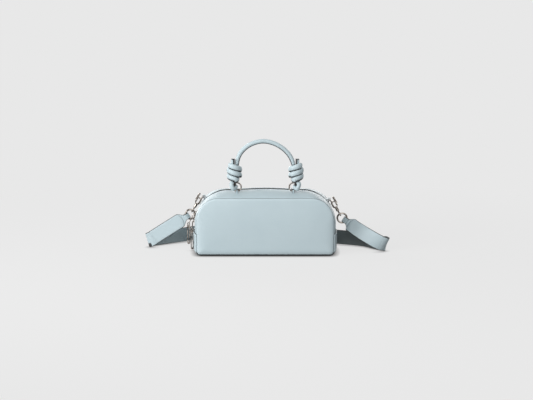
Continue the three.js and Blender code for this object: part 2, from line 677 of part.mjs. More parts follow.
for (const [name, side] of [['left', -1], ['right', 1]]) {
  const tab = addPiece(`handle_ring_tab_${name}`,
    tabGeometry(HANDLE_TAB_WIDTH, HANDLE_TAB_LENGTH, HANDLE_TAB_LEATHER, handleBore, TAB_BEND), LEATHER_BLUE);
  tab.position.set(side * HANDLE_RING_X, HANDLE_Y - GAP * Math.sin(handleLean), handleSurface.z + GAP);
  tab.rotation.x = handleLean;
  const torus = new THREE.TorusGeometry(HANDLE_RING_RADIUS, HANDLE_RING_WIRE / 2, 8, 24).rotateX(Math.PI / 2);
  const ring = addPiece(`handle_ring_${name}`, torus, SILVER);
  ring.position.set(side * HANDLE_RING_X, ringY, ringMiddleZ);
}

// Knot of the left side, in its own frame: X to the bag's middle, Y to the back, Z up from the lowest wrap.
// Angles count from the bag's middle over the front.
const knotHeight = (WRAP_PITCH * WRAP_TURN) / 360;
const wrapRadius = CORE_RADIUS + CORE_STRAND + LOOSE + WRAP_HALF_THICKNESS;

const around = (degrees, radius, z) => point(
  radius * Math.cos(radians(degrees)),
  -radius * Math.sin(radians(degrees)),
  z,
);
const awayFromAxis = (at) => point(at.x, at.y, 0).normalize();
const roundStation = (at, face, radius) => ({ at, face, thick: radius, wide: radius });

function coreStrand(foot, from, to, steps) {
  return Array.from({ length: steps + 1 }, (_, i) => {
    const z = THREE.MathUtils.lerp(from, to, i / steps);
    const share = THREE.MathUtils.clamp(z / knotHeight, 0, 1);
    const at = around(foot + CORE_TWIST * share, CORE_RADIUS, z);
    return roundStation(at, awayFromAxis(at), CORE_STRAND);
  });
}

function winding() {
  const steps = Math.round(WRAP_TURN / WRAP_STEP);
  return Array.from({ length: steps + 1 }, (_, i) => {
    const turned = (WRAP_TURN * i) / steps;
    const at = around(WRAP_START - turned, wrapRadius, knotHeight - (WRAP_PITCH * turned) / 360);
    at.z -= WRAP_TILT * at.x;
    return { at, face: awayFromAxis(at), thick: WRAP_HALF_THICKNESS, wide: WRAP_HALF_HEIGHT };
  });
}

// Smooth passage between the ends of two stretches of cord
function passage(before, after, reach, steps) {
  const way = (from, to) => to.at.clone().sub(from.at).setLength(reach);
  const from = before[before.length - 1];
  const to = after[0];
  const curve = new THREE.CubicBezierCurve3(
    from.at,
    from.at.clone().add(way(before[before.length - 2], from)),
    to.at.clone().sub(way(to, after[1])),
    to.at,
  );
  return curve.getPoints(steps).slice(1, -1).map((at, i) => {
    const share = (i + 1) / steps;
    return {
      at,
      face: awayFromAxis(at),
      thick: THREE.MathUtils.lerp(from.thick, to.thick, share),
      wide: THREE.MathUtils.lerp(from.wide, to.wide, share),
    };
  });
}

// The loop that passes through the ring, from the standing strand round to the rising one, by chosen points
function ringLoop(from, to) {
  const holeX = KNOT_X - HANDLE_RING_X - LOOP_SHIFT;
  const holeZ = ringMiddleZ - KNOT_BOTTOM;
  const route = new THREE.CatmullRomCurve3([
    from.at,
    point(-3, LOOP_HALF_DEPTH - 0.8, holeZ / 2),
    point(holeX - 2, LOOP_HALF_DEPTH - 1.6, holeZ + 0.8),
    point(holeX - 0.4, 0, holeZ + 0.4),
    point(holeX - 5, -LOOP_HALF_DEPTH, holeZ - 2.2),
    point(-4.8, -LOOP_HALF_DEPTH, holeZ * 0.66),
    point(-3.6, 1.4 - LOOP_HALF_DEPTH, holeZ * 0.4),
    to.at,
  ], false, 'centripetal');
  const middle = point(-1, 0, holeZ / 3);
  return route.getPoints(21).slice(1, -1).map((at) => roundStation(at, at.clone().sub(middle), CORE_STRAND));
}

// The cord of the left knot, followed from the grip down to the cut end
function knotStations() {
  const standing = coreStrand(STANDING_FOOT, knotHeight + LEG_RISE, KNOT_FOOT, 9);
  const rising = coreStrand(RISING_FOOT, KNOT_FOOT, knotHeight - TURN_ROOM, 7);
  const wraps = winding();
  const tail = coreStrand(TAIL_FOOT, TURN_ROOM, knotHeight + TAIL_RISE, 9);
  return [
    ...standing,
    ...ringLoop(standing[standing.length - 1], rising[0]),
    ...rising,
    ...passage(rising, wraps, PASSAGE_REACH, 6),
    ...wraps,
    ...passage(wraps, tail, PASSAGE_REACH, 6),
    ...tail,
  ];
}

function gripStations() {
  const legZ = KNOT_BOTTOM + knotHeight + LEG_RISE;
  const halfSpan = KNOT_X - CORE_RADIUS;
  const steps = 30;
  const power = 2 / GRIP_SQUARENESS;
  const middle = point(0, ringY, legZ);
  return Array.from({ length: steps - 1 }, (_, i) => {
    const turn = (Math.PI * (i + 1)) / steps;
    const x = -Math.sign(Math.cos(turn)) * halfSpan * Math.abs(Math.cos(turn)) ** power;
    const at = point(x + GRIP_LEAN * Math.sin(turn), ringY, legZ + GRIP_RISE * Math.sin(turn) ** power);
    const swell = Math.min(1, 4 * Math.sin(turn));
    const radius = THREE.MathUtils.lerp(CORE_STRAND, GRIP_STRAND, swell);
    return roundStation(at, middle.clone().sub(at), radius);
  });
}

function placeKnot(stations, side) {
  return stations.map((station) => ({
    ...station,
    at: point(side * (KNOT_X - station.at.x), ringY + station.at.y, KNOT_BOTTOM + station.at.z),
    face: point(-side * station.face.x, station.face.y, station.face.z),
  }));
}

const knot = knotStations();
const handleStations = [...placeKnot(knot, -1).reverse(), ...gripStations(), ...placeKnot(knot, 1)];
const handle = sweepSolid(handleStations, CORD_SIDES);
addPiece('handle', handle, LEATHER_BLUE);
const handleGap = leastGap(handle, CORD_SIDES, handleStations, HANDLE_APART);
console.log('least gap of the handle to itself', handleGap.toFixed(2));

// Shoulder clips: D-ring on its tab, hook with gate, swivel eye and strap ring

const dBore = D_RING_WIRE / 2 + LOOSE;
const jawTop = D_RING_WIRE / 2 + LOOSE - (HOOK_HALF_WIDTH - HOOK_WALL); // middle of the jaw's upper round
const jawBottom = jawTop - HOOK_SLOT;
const hookFoot = jawBottom - HOOK_HALF_WIDTH;
const barrelFoot = hookFoot - HOOK_BARREL_LENGTH;
const eyeMiddle = barrelFoot - LOOSE - EYE_RADIUS - EYE_WIRE / 2;
const strapRingTop = eyeMiddle - EYE_RADIUS + EYE_WIRE / 2 + GAP + STRAP_RING_WIRE / 2;
const strapRingMiddle = strapRingTop - STRAP_RING_RADIUS;
const gateFoot = jawBottom - GATE_DROP;
const gateHead = jawTop + GATE_RISE;

function roundedSlot(shape, halfWidth, low, high) {
  shape.absarc(0, high, halfWidth, 0, Math.PI, false);
  shape.absarc(0, low, halfWidth, Math.PI, 2 * Math.PI, false);
  shape.closePath();
  return shape;
}

function standing(radius, low, high) {
  return toSolid(new THREE.CylinderGeometry(radius, radius, high - low, 12).rotateX(Math.PI / 2)
    .translate(0, 0, (low + high) / 2));
}

function hookGeometry() {
  const jaw = HOOK_HALF_WIDTH - HOOK_WALL;
  const shape = roundedSlot(new THREE.Shape(), HOOK_HALF_WIDTH, jawBottom, jawTop);
  shape.holes.push(roundedSlot(new THREE.Path(), jaw, jawBottom, jawTop));
  const body = toSolid(plateGeometry(shape, HOOK_THICKNESS, 10));
  const barrel = standing(HOOK_BARREL_RADIUS, barrelFoot, hookFoot + HOOK_WALL / 2);
  const bore = standing(SWIVEL_PIN_RADIUS + GAP, barrelFoot - CUT_PAST, hookFoot);
  const mouthSide = HOOK_HALF_WIDTH + CUT_PAST;
  const mouthFoot = gateFoot - LOOSE;
  const mouth = toSolid(
    boxBetween(jaw * MOUTH_SHARE, mouthSide, -HOOK_THICKNESS, HOOK_THICKNESS, mouthFoot, gateHead + GAP)
  );
  return toGeometry(body.add(barrel).subtract(bore).subtract(mouth));
}

function gateGeometry() {
  const inner = HOOK_HALF_WIDTH - HOOK_WALL + GAP;
  const shape = new THREE.Shape();
  shape.moveTo(inner, gateFoot);
  shape.lineTo(HOOK_HALF_WIDTH, gateFoot);
  shape.lineTo(HOOK_HALF_WIDTH, gateHead - LEVER_BASE);
  shape.lineTo(HOOK_HALF_WIDTH + LEVER_REACH, gateHead + LEVER_RISE);
  shape.lineTo(HOOK_HALF_WIDTH + LEVER_REACH - LEVER_TIP, gateHead + LEVER_RISE + LEVER_TIP / 2);
  shape.lineTo(HOOK_HALF_WIDTH, gateHead - LEVER_TIP);
  shape.lineTo(HOOK_HALF_WIDTH - LEVER_TIP, gateHead);
  shape.lineTo(inner, gateHead);
  shape.closePath();
  return plateGeometry(shape, HOOK_THICKNESS - GAP);
}

function swivelGeometry() {
  const eye = toSolid(new THREE.TorusGeometry(EYE_RADIUS, EYE_WIRE / 2, 8, 18).rotateY(Math.PI / 2)
    .translate(0, 0, eyeMiddle));
  return toGeometry(eye.add(standing(SWIVEL_PIN_RADIUS, eyeMiddle + EYE_RADIUS, hookFoot - GAP)));
}

function turnedGroup(at, xWay, yWay, zWay) {
  const group = new THREE.Group();
  group.position.copy(at);
  group.quaternion.setFromRotationMatrix(new THREE.Matrix4().makeBasis(xWay, yWay, zWay));
  bag.add(group);
  return group;
}

const depthWay = point(0, 1, 0);
function fallingWay(side, degrees) {
  return point(side * Math.cos(radians(degrees)), 0, -Math.sin(radians(degrees)));
}
const clips = [
  ['left', -1, CLIP_SHOULDER_LEFT, D_RING_FALL_LEFT, CLIP_FALL_LEFT],
  ['right', 1, CLIP_SHOULDER_RIGHT, D_RING_FALL_RIGHT, CLIP_FALL_RIGHT],
];
const strapRings = {};
for (const [name, side, shoulder, ringFall, fall] of clips) {
  const seat = shoulderPoint(side, shoulder, CLIP_Y);
  const out = fallingWay(side, -shoulder);
  const tab = turnedGroup(seat, depthWay, out.clone().cross(depthWay), out);
  addPiece(`d_ring_tab_${name}`, tabGeometry(D_TAB_WIDTH, D_TAB_LENGTH, D_TAB_LEATHER, dBore, CREST_RADIUS),
    LEATHER_BLUE, tab);
  const bar = seat.clone().addScaledVector(out, tabBoreHeight(D_TAB_LEATHER, dBore));
  const reach = fallingWay(side, ringFall);
  const up = reach.clone().negate();
  const dRing = turnedGroup(bar, depthWay.clone().cross(up), depthWay, up);
  addPiece(`d_ring_${name}`,
    wireLoop(D_RING_HALF_LENGTH, D_RING_REACH, D_RING_CORNER, D_RING_WIRE, 8), SILVER, dRing);
  const bow = bar.clone().addScaledVector(reach, D_RING_REACH);
  const chain = fallingWay(side, fall);
  const back = chain.clone().negate();
  const gateWay = fallingWay(side, fall - 90);
  const clip = turnedGroup(bow, gateWay, back.clone().cross(gateWay), back);
  addPiece(`hook_${name}`, hookGeometry(), SILVER, clip);
  addPiece(`hook_gate_${name}`, gateGeometry(), SILVER, clip);
  addPiece(`hook_swivel_${name}`, swivelGeometry(), SILVER, clip);
  const torus = new THREE.TorusGeometry(STRAP_RING_RADIUS, STRAP_RING_WIRE / 2, 8, 24).rotateX(Math.PI / 2);
  addPiece(`strap_ring_${name}`, torus.translate(0, 0, strapRingMiddle), SILVER, clip);
  strapRings[name] = bow.clone().addScaledVector(chain, -strapRingMiddle);
}

// Shoulder strap: two arms that end in the strap rings, and the folded middle behind the bag

const hankZ = STRAP_WIDTH / 2 + GAP + TIE + GAP;

// A ribbon along chosen points: each has a place, the direction of the width and half the width
function ribbonStations(route, steps) {
  const curve = new THREE.CatmullRomCurve3(route.map(({ at }) => at), false, 'centripetal');
  return Array.from({ length: steps + 1 }, (_, i) => {
    const along = (i / steps) * (route.length - 1);
    const before = route[Math.min(Math.floor(along), route.length - 2)];
    const after = route[Math.min(Math.floor(along), route.length - 2) + 1];
    const share = along - Math.min(Math.floor(along), route.length - 2);
    const width = before.width.clone().lerp(after.width, share);
    return {
      at: curve.getPoint(i / steps),
      face: curve.getTangent(i / steps).cross(width),
      thick: STRAP / 2,
      wide: THREE.MathUtils.lerp(before.half, after.half, share),
    };
  });
}

const armRoutes = {
  left: [
    [-142.4, 15.5, 46.8], [-156, 17.5, 38], [-170, 19.5, 28.8], [-183, 21, 20.2], [-192, 21.5, 14.2],
    [-196, 24, 12.5], [-195, 29.5, 12.5], [-188, 36.5, 12.5], [-174, 46, 12.6], [-155, 57, 13],
    [-135, 69, 13.4], [-115, 84, 13.7], [-97, 96, 13.8],
  ],
  right: [
    [144, 8, 40], [157, -2, 32.6], [171, -9.5, 25], [184.5, -14, 18], [194, -15.5, 13.6],
    [199, -12.5, 12.5], [198.8, -6.5, 12.5], [192, 3.5, 12.5], [181, 15.5, 12.6], [166, 28.5, 12.8],
    [146, 37.5, 13.2], [125, 44, 13.6], [108, 53.5, 13.7], [95, 60.4, 13.8],
  ],
};
const armEnds = {
  left: point(-HANK_HALF_LENGTH - GAP, HANK_FRONT + HANK_PITCH * (HANK_RUNS - 1), hankZ),
  right: point(HANK_HALF_LENGTH + GAP, HANK_FRONT, hankZ),
};
const tabSag = STRAP_RING_RADIUS - Math.sqrt(STRAP_RING_RADIUS ** 2 - (STRAP_TAB_WIDTH / 2) ** 2);
const tabMiddle = STRAP_RING_RADIUS - tabSag / 2; // distance of the strap's bend from the ring's middle
for (const [name, side, lean] of [['left', -1, FOLD_LEAN_LEFT], ['right', 1, FOLD_LEAN_RIGHT]]) {
  const ring = strapRings[name];
  const first = point(...armRoutes[name][0]);
  const run = first.clone().sub(ring).setY(0).normalize();
  const tabWidth = point(-run.z * side, 0, run.x * side);
  const foldWidth = point(side * Math.sin(radians(lean)), 0, Math.cos(radians(lean)));
  const upright = point(0, 0, 1);
  const tabPoint = (along, depth, half) => ({
    at: ring.clone().addScaledVector(run, tabMiddle + along).addScaledVector(depthWay, depth),
    width: tabWidth,
    half,
  });
  const tabHalf = STRAP_TAB_WIDTH / 2;
  const half = STRAP_WIDTH / 2;
  const route = [
    tabPoint(STRAP_RETURN, STRAP / 2 + GAP, tabHalf),
    tabPoint(STRAP_RETURN / 2, STRAP + 2 * GAP, tabHalf),
    tabPoint(0, TAB_LOOP, tabHalf),
    tabPoint(-TAB_LOOP, 0, tabHalf),
    tabPoint(0, -TAB_LOOP, tabHalf),
    tabPoint(STRAP_NECK, -STRAP, tabHalf),
  ];
  armRoutes[name].forEach((spot, i) => {
    const toFold = Math.min(i / FOLD_POINT, 1);
    const pastFold = Math.min(Math.max((i - FOLD_POINT) / 2, 0), 1);
    const width = tabWidth.clone().lerp(foldWidth, toFold).lerp(upright, pastFold).normalize();
    route.push({ at: point(...spot), width, half: i === 0 ? SHOULDER_SHARE * half : half });
  });
  route.push({ at: armEnds[name], width: upright, half });
  const stations = ribbonStations(route, route.length * 3);
  addPiece(`shoulder_strap_${name}`, sweepSolid(stations, 4), LEATHER_BLUE);
}

function hankStations() {
  const stations = [];
  const runSteps = 6;
  const bendSteps = 12;
  const upright = point(0, 0, 1);
  const push = (at, along) => stations.push({
    at,
    face: along.clone().cross(upright),
    thick: STRAP / 2,
    wide: STRAP_WIDTH / 2,
  });
  for (let run = 0; run < HANK_RUNS; run += 1) {
    const way = run % 2 === 0 ? -1 : 1;
    const y = HANK_FRONT + HANK_PITCH * run;
    for (let i = 0; i <= runSteps; i += 1) {
      push(point(way * HANK_HALF_LENGTH * ((2 * i) / runSteps - 1), y, hankZ), point(way, 0, 0));
    }
    if (run < HANK_RUNS - 1) {
      for (let i = 1; i < bendSteps; i += 1) {
        const turn = (Math.PI * i) / bendSteps;
        const radius = HANK_PITCH / 2;
        push(
          point(way * (HANK_HALF_LENGTH + radius * Math.sin(turn)), y + radius * (1 - Math.cos(turn)), hankZ),
          point(way * Math.cos(turn), Math.sin(turn), 0),
        );
      }
    }
  }
  return stations;
}

const hank = hankStations();
const hankSolid = sweepSolid(hank, 4);
addPiece('shoulder_strap_hank', hankSolid, LEATHER_BLUE);
console.log('least gap of the hank to itself', leastGap(hankSolid, 4, hank, HANK_APART).toFixed(2));

const tieFront = HANK_FRONT - STRAP / 2 - GAP;
const tieBack = HANK_FRONT + HANK_PITCH * (HANK_RUNS - 1) + STRAP / 2 + GAP;
const tieLow = hankZ - STRAP_WIDTH / 2 - GAP;
const tieHigh = hankZ + STRAP_WIDTH / 2 + GAP;
const tieHalf = TIE_WIDTH / 2;
const tieOuter = toSolid(
  boxBetween(-tieHalf, tieHalf, tieFront - TIE, tieBack + TIE, tieLow - TIE, tieHigh + TIE)
);
const tieInner = toSolid(boxBetween(-TIE_WIDTH, TIE_WIDTH, tieFront, tieBack, tieLow, tieHigh));
addPiece('strap_tie', toGeometry(tieOuter.subtract(tieInner)), LEATHER_BLUE);

export default bag;
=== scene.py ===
import math

import bmesh
import bpy
import numpy as np
from mathutils import Matrix, Vector


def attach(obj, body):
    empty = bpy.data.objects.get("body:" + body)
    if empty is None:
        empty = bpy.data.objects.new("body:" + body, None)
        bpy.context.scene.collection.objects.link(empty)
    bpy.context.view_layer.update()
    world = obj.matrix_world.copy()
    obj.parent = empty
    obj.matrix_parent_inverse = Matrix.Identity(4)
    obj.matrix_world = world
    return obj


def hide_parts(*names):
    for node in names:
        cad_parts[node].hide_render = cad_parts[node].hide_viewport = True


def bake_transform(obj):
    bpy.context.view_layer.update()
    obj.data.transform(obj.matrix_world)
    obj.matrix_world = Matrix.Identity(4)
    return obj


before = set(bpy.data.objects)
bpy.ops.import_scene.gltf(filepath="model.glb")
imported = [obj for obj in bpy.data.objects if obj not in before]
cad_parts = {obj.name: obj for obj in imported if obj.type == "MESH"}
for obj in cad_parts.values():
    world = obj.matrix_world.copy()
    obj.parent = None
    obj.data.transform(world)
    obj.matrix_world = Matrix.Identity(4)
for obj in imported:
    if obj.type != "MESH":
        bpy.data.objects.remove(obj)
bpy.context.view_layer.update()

MM = 0.001  # sizes below are in millimetres and become metres when a mesh is made
X_WAY = Vector((1, 0, 0))
Y_WAY = Vector((0, 1, 0))
UPRIGHT = Vector((0, 0, 1))
FRONT = Vector((0, -1, 0))
SIDES = {"left": -1, "right": 1}
HALVES = {"front": -1, "rear": 1}

# Body
LEATHER = 1.8
CREST_HALF_WIDTH = 115.5
CREST_TOP = 104.5
CREST_DOME = 2
CREST_RADIUS = 55
SEAM_HALF_WIDTH = 110.5
SEAM_TOP = 95
SEAM_RADIUS = 36
BAND_HALF_DEPTH = 42.3
ZIP_MOUTH = 6
BASE_RADIUS = 9
BASE_LIFT = 1.4  # how far the bottom's long edges stand off the floor
BASE_FLAT = 34
BASE_EDGE_TURN = math.radians(75)
GUSSET_TOP = 36
LAP_START = 28  # where the plackets end under the gusset
GUSSET_STAND = 2.1  # how far the gusset stands outside the plackets
PANEL_BOTTOM = 1.7
PANEL_RIM = 42.6
PANEL_MIDDLE = 48
PANEL_CROWN = 2.6
CROWN_LOSS = (1.1, 1.4)  # how much flatter the panel is low down at its sides and at the bottom
CROWN_REACH = 46  # distance from the edge at which the crown is full
ROLL_REACH = (3.4, 16, 14)  # the panel's rolled edge: at the top, low down at its sides, at the bottom
ROLL_DEPTH = (1.9, 3, 4.4)
PANEL_WAVE = 0.22  # unevenness of the leather
REAR_DIP = 0.8  # how far the rear half sinks beside the zip
LINING_HALF_WIDTH = 105.7
LINING_HALF_DEPTH = 40.2
LINING = 0.8
LINING_FLOOR = 4
STITCH_PITCH = 3
STITCH_HALF_SIZES = (1.15, 0.32, 0.3)
STITCH_DEPTH = 9.5  # distance of the zip's stitches from the bag's middle
STITCH_DROP = 3  # distance of the gusset's stitches from its upper edge

# Zip
TEETH_TOP = -1.4  # counted out of the bag's surface
TEETH_HEIGHT = 2
TEETH_EDGE = 3.2
TEETH_INNER = 0.25
TOOTH_HALF_LENGTH = 0.65
TOOTH_PITCH = 2.5
TEETH_START = 5.2  # distance of the first tooth from the end of the crest
TEETH_FOOT = 31  # height under which no tooth stands
STOP_LOW = (112.1, -3.2, 28)  # corners of the right stop
STOP_HIGH = (114.4, 3.2, 32)
LOWER_SLIDER_ANGLE = 3  # degrees up the left shoulder
SLIDER_LENGTH = 11
SLIDER_HALF_WIDTH = 4.7
SLIDER_PLATES = ((-1.1, 0.4), (-5.8, -4.3))
SLIDER_DEPTH = 6  # how far a slider reaches into the bag
SLIDER_APART = 0.3  # gap between the two sliders at their inner ends
BAIL_WIRE = 1.3
BAIL_HALF_LENGTH = 2.4
BAIL_STRAIGHT = 0.7
BAIL_RISE = 3.9
BAIL_SEAT = 3.95  # how far out of the bag a pull hangs
PULL_CLEARANCE = 0.6  # between the bag and a drop, and between the two drops
LINK_LENGTHS = {"lower": 14.5, "upper": 21}
LINK_WIRE = 1.5
LINK_HALF_WIDTH = 2.7
DROP_WIDTH = 5
DROP_LENGTH = 34
DROP_THICKNESS = 2
DROP_EYE = 1.2
DROP_SLOT_TOP = -7.5  # counted from the eye
DROP_RIM = 1.5

# Handle
RING_Y = -24.68
RING_TAB_Y = -24.064
RING_TAB_Z = 101.171
RING_TAB_LEAN = math.radians(12.33)
RING_TAB_WIDTH = 3.2
RING_TAB_FEET = (2.6, 10)
RING_TAB_BORE = 1.6
RING_TAB_BORE_HEIGHT = 2.5
RING_TAB_BEND = 60  # radius of the leather under the tab
# painted shade that darkens the handle ring tabs a little
RING_TAB_SHADE = 0.1
TAB_LEATHER = 0.8
TAB_GAP = 0.3  # between a tab and the leather under it
HANDLE_RING_X = 45.6
HANDLE_RING_Z = 110.685
HANDLE_RING_RADIUS = 6.8
HANDLE_RING_WIRE = 2.4
KNOT_X = 49.6
KNOT_BOTTOM = 124.4
WRAP_PITCH = 9.7
WRAP_HALF_THICKNESS = 2.3
WRAP_HALF_HEIGHT = 4.5
WRAP_TURN = 765
WRAP_START = 130
WRAP_TILT = 0.17
CORE_STRAND = 3
CORE_RADIUS = 4.35
CORE_TWIST = 120
STANDING_FOOT = 240
RISING_FOOT = 120
TAIL_FOOT = 0
GRIP_STRAND = 3.5
GRIP_RISE = 38.1
GRIP_LEAN = -3.2
GRIP_SQUARENESS = 1.85
LEG_RISE = 2
TAIL_RISE = 12
CORD_SIDES = 28
SEAM_RIDGE = 0.45  # how far the sewn edge of the cord's cover stands out
WRAP_CLEARANCE = 0.45
LOOP_HALF_DEPTH = 7.2
KNOT_HEIGHT = WRAP_PITCH * WRAP_TURN / 360
WRAP_RADIUS = CORE_RADIUS + CORE_STRAND + WRAP_CLEARANCE + WRAP_HALF_THICKNESS

# Shoulder clips; a hook is drawn hanging from the origin
CLIP_Y = 18
CLIP_SHOULDER = {"left": 45, "right": 38}  # degrees up the shoulder where the D-ring sits
CLIP_FALL = {"left": 59, "right": 60}  # degrees that the clip hangs below level
D_RING_FALL = {"left": 36, "right": 43}
D_RING_WIRE = 2.5
D_RING_HALF_LENGTH = 8
D_RING_REACH = 9.6
D_RING_CORNER = 3
D_TAB_WIDTH = 11
D_TAB_FEET = (6.5, 6.5)
D_TAB_BORE = 1.35
D_TAB_BORE_HEIGHT = 3.05
D_TAB_LOWERED = 2.4
# painted shade that darkens the D-ring tabs a little
D_TAB_SHADE = 0.15
JAW_TOP = -0.9
JAW_BOTTOM = -4.7
HOOK_FOOT = -9.3
BARREL_FOOT = -15.5
BARREL_RADIUS = 2.6
EYE_MIDDLE = -20.55
EYE_RADIUS = 3.6
EYE_WIRE = 2.5
STRAP_RING_DROP = 29.25  # from the D-ring's bow to the middle of the strap ring
HOOK_HALF_WIDTH = 4.6
HOOK_THICKNESS = 3.2
HOOK_OPENING = 1.6
MOUTH_LOW = (0.87, -6.9)  # corners of the mouth that the gate closes, as x and z
MOUTH_HIGH = (9, 1.8)
GATE_LOW = (2.2, -1.5, -6.6)
GATE_HIGH = (4.7, 1.5, 1.5)
LEVER_DEPTH = 2.4
LEVER_CORNERS = {(-1, -1): (3.0, 1.0), (1, -1): (6.2, -3.2), (-1, 1): (2.6, 10.2), (1, 1): (5.9, 9.3)}
STRAP_RING_RADIUS = 7.9
STRAP_RING_WIRE = 3

# Strap
STRAP_WIDTH = 24.4
STRAP = 2.5
STRAP_NECK = 1.7  # thickness of the strap's narrow end
STRAP_TAB_HALF = 4.8
TAB_LOOP = 4.5
TAB_MIDDLE = 7.09  # distance of the strap's bend from the ring's middle
TAB_RETURN = 13  # length that is turned back round the ring
NECK_START = 1.5  # distances past the ring at which the neck widens
NECK_END = 14
DOUBLED_START = 8.5  # where the doubled strap starts, and how far its round start reaches
DOUBLED_ROUND = 5
EDGE_STEPS = 6
FACE_STEPS = 10
ROUTE_STEPS = 16
FOLD_POINT = 5
HANK_HALF_LENGTH = 82
HANK_FRONT = 62
HANK_PITCH = 18
HANK_RUNS = 3
HANK_Z = 13.7
TIE_HALF_WIDTH = 5
TIE = 0.9
TIE_ROOM = 0.3
TIE_CORNER = 2
FOLD_LEAN = {"left": 16, "right": 19}
BACK_TONES_AND_SHADE = {"left": 0.4, "right": 1.0}  # how far the strap's back is darkened: dark backing with painted shade, more on the right strap
SPLIT_BEFORE_FOLD = 12  # the first part of an arm ends this far before the fold
FOLD_TIP = {"left": 0.0, "right": -0.28}  # how far the upper edge tips forward at the fold
ARM_LEANS = {"left": 0.0, "right": 0.45}  # how far the upper edge leans back at an arm's start
ARM_ROUTES = {
    "left": [
        (-142.4, 15.5, 46.8), (-156, 17.5, 38), (-170, 19.5, 28.8), (-183, 21, 20.2), (-192, 21.5, 14.2),
        (-196, 24, 12.5), (-195, 29.5, 12.5), (-188, 36.5, 12.5), (-174, 46, 12.6), (-155, 57, 13),
        (-135, 69, 13.4), (-115, 84, 13.7), (-97, 96, 13.8), (-82.3, 98, 13.7),
    ],
    "right": [
        (144, 8, 40), (157, -2, 32.6), (171, -9.5, 25), (184.5, -13, 18), (194, -11.5, 13.6),
        (199, -7, 12.5), (198, -2.5, 12.4), (192, 0.5, 12.3), (181, 12, 12.5), (166, 28.5, 12.8),
        (146, 37.5, 13.2), (125, 44, 13.6), (108, 53.5, 13.7), (95, 60.4, 13.8), (82.3, 62, 13.7),
    ],
}

# Camera: the photograph is taken as 533 pixels wide, 1.6 mm each at the front panel
CAMERA_DISTANCE = 1800
CAMERA_SENSOR = 36
CAMERA_ELEVATION = 10
VIEW_WIDTH = 852.8
AIM = Vector((2.1, -46, 92.9))

# Finishes, linear
LEATHER_BLUE = (0.500, 0.602, 0.640)
LEATHER_SHADE = (0.440, 0.545, 0.585)
STRAP_BACK_AND_SHADE = (0.15, 0.178, 0.182)
# Black edge paint; the same colour also stands as painted shade in seams and knots and as painted contact
# shadow at the floor.
EDGE_PAINT_AND_SHADE = (0.018, 0.019, 0.021)
THREAD_BLUE = (0.46, 0.56, 0.60)
SILVER = (0.43, 0.39, 0.355)
# dark end of the painted reflection on the metal
SILVER_DARK_REFLECTION = (0.045, 0.038, 0.033)
TAPE_GREY = (0.20, 0.215, 0.225)
TAPE_DARK = (0.10, 0.108, 0.115)
LINING_GREY = (0.27, 0.31, 0.335)
BOARD_BROWN = (0.25, 0.19, 0.13)
BOARD_DARK = (0.16, 0.115, 0.075)
FLOOR_GREY = 0.95
FLOOR_BOUNCE = 0.08
FLOOR_PLAIN = 0.88  # share of the floor that shows plain near the bag
FLOOR_FADE = (0.3, 0.75)  # metres from the middle over which the rest turns plain too
FLOOR_CONTACT = 0.009  # metres over which the floor darkens under an edge
BACKGROUND = 0.807
SKY_LIGHT = 0.4
FLOOR_SIZE = 40  # metres
LIGHT_AIM = Vector((0, 0, 0.06))
SOFT_BOXES = [  # power in watts, size and place in metres
    ("key", 5, 0.7, (-0.6, -1.4, 0.75)),
    ("side", 15, 0.8, (-1.1, -0.8, 0.42)),
    ("fill", 6.5, 0.9, (0.4, -1.6, 0.7)),
    ("rear", 9, 1.2, (0.35, 1.7, 0.3)),
    ("rear_left", 9, 1.2, (-0.9, 1.4, 0.3)),
]


# Small helpers

def lerp(a, b, share):
    return a + (b - a) * share


def smooth_step(low, high, value):
    share = min(max((value - low) / (high - low), 0), 1)
    return share * share * (3 - 2 * share)


def new_piece(name, points, faces, material):
    """A smooth mesh, its points in metres."""
    mesh = bpy.data.meshes.new(name)
    mesh.from_pydata(points, [], faces)
    mesh.materials.append(material)
    mesh.shade_smooth()
    piece = bpy.data.objects.new(name, mesh)
    bpy.context.scene.collection.objects.link(piece)
    return piece


def face_outwards(piece):
    """Turn the faces of a closed mesh outwards."""
    form = bmesh.new()
    form.from_mesh(piece.data)
    bmesh.ops.recalc_face_normals(form, faces=form.faces)
    if form.calc_volume(signed=True) < 0:
        bmesh.ops.reverse_faces(form, faces=form.faces)
    form.to_mesh(piece.data)
    form.free()
    return piece


def loft(name, rings, material, closed=False):
    """A solid through closed rings of points; open ends are capped."""
    count = len(rings[0])
    faces = []
    for i in range(len(rings) if closed else len(rings) - 1):
        here, there = i * count, (i + 1) % len(rings) * count
        for k in range(count):
            after = (k + 1) % count
            faces.append((here + k, here + after, there + after, there + k))
    if not closed:
        last = (len(rings) - 1) * count
        faces.append(tuple(range(count)))
        faces.append(tuple(last + k for k in range(count)))
    return face_outwards(new_piece(name, [p * MM for ring in rings for p in ring], faces, material))


def paint_points(piece, name, values):
    """Store one number per point, for the material to read."""
    layer = piece.data.attributes.new(name, "FLOAT", "POINT")
    layer.data.foreach_set("value", np.array(values, np.float32))


def settle(piece, body, slot, *nodes):
    """Put a finished piece on its body and hide the CAD nodes that it stands for; its finish, the slot, is
    not used.
    """
    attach(piece, body)
    if nodes:
        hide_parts(*nodes)
    return piece


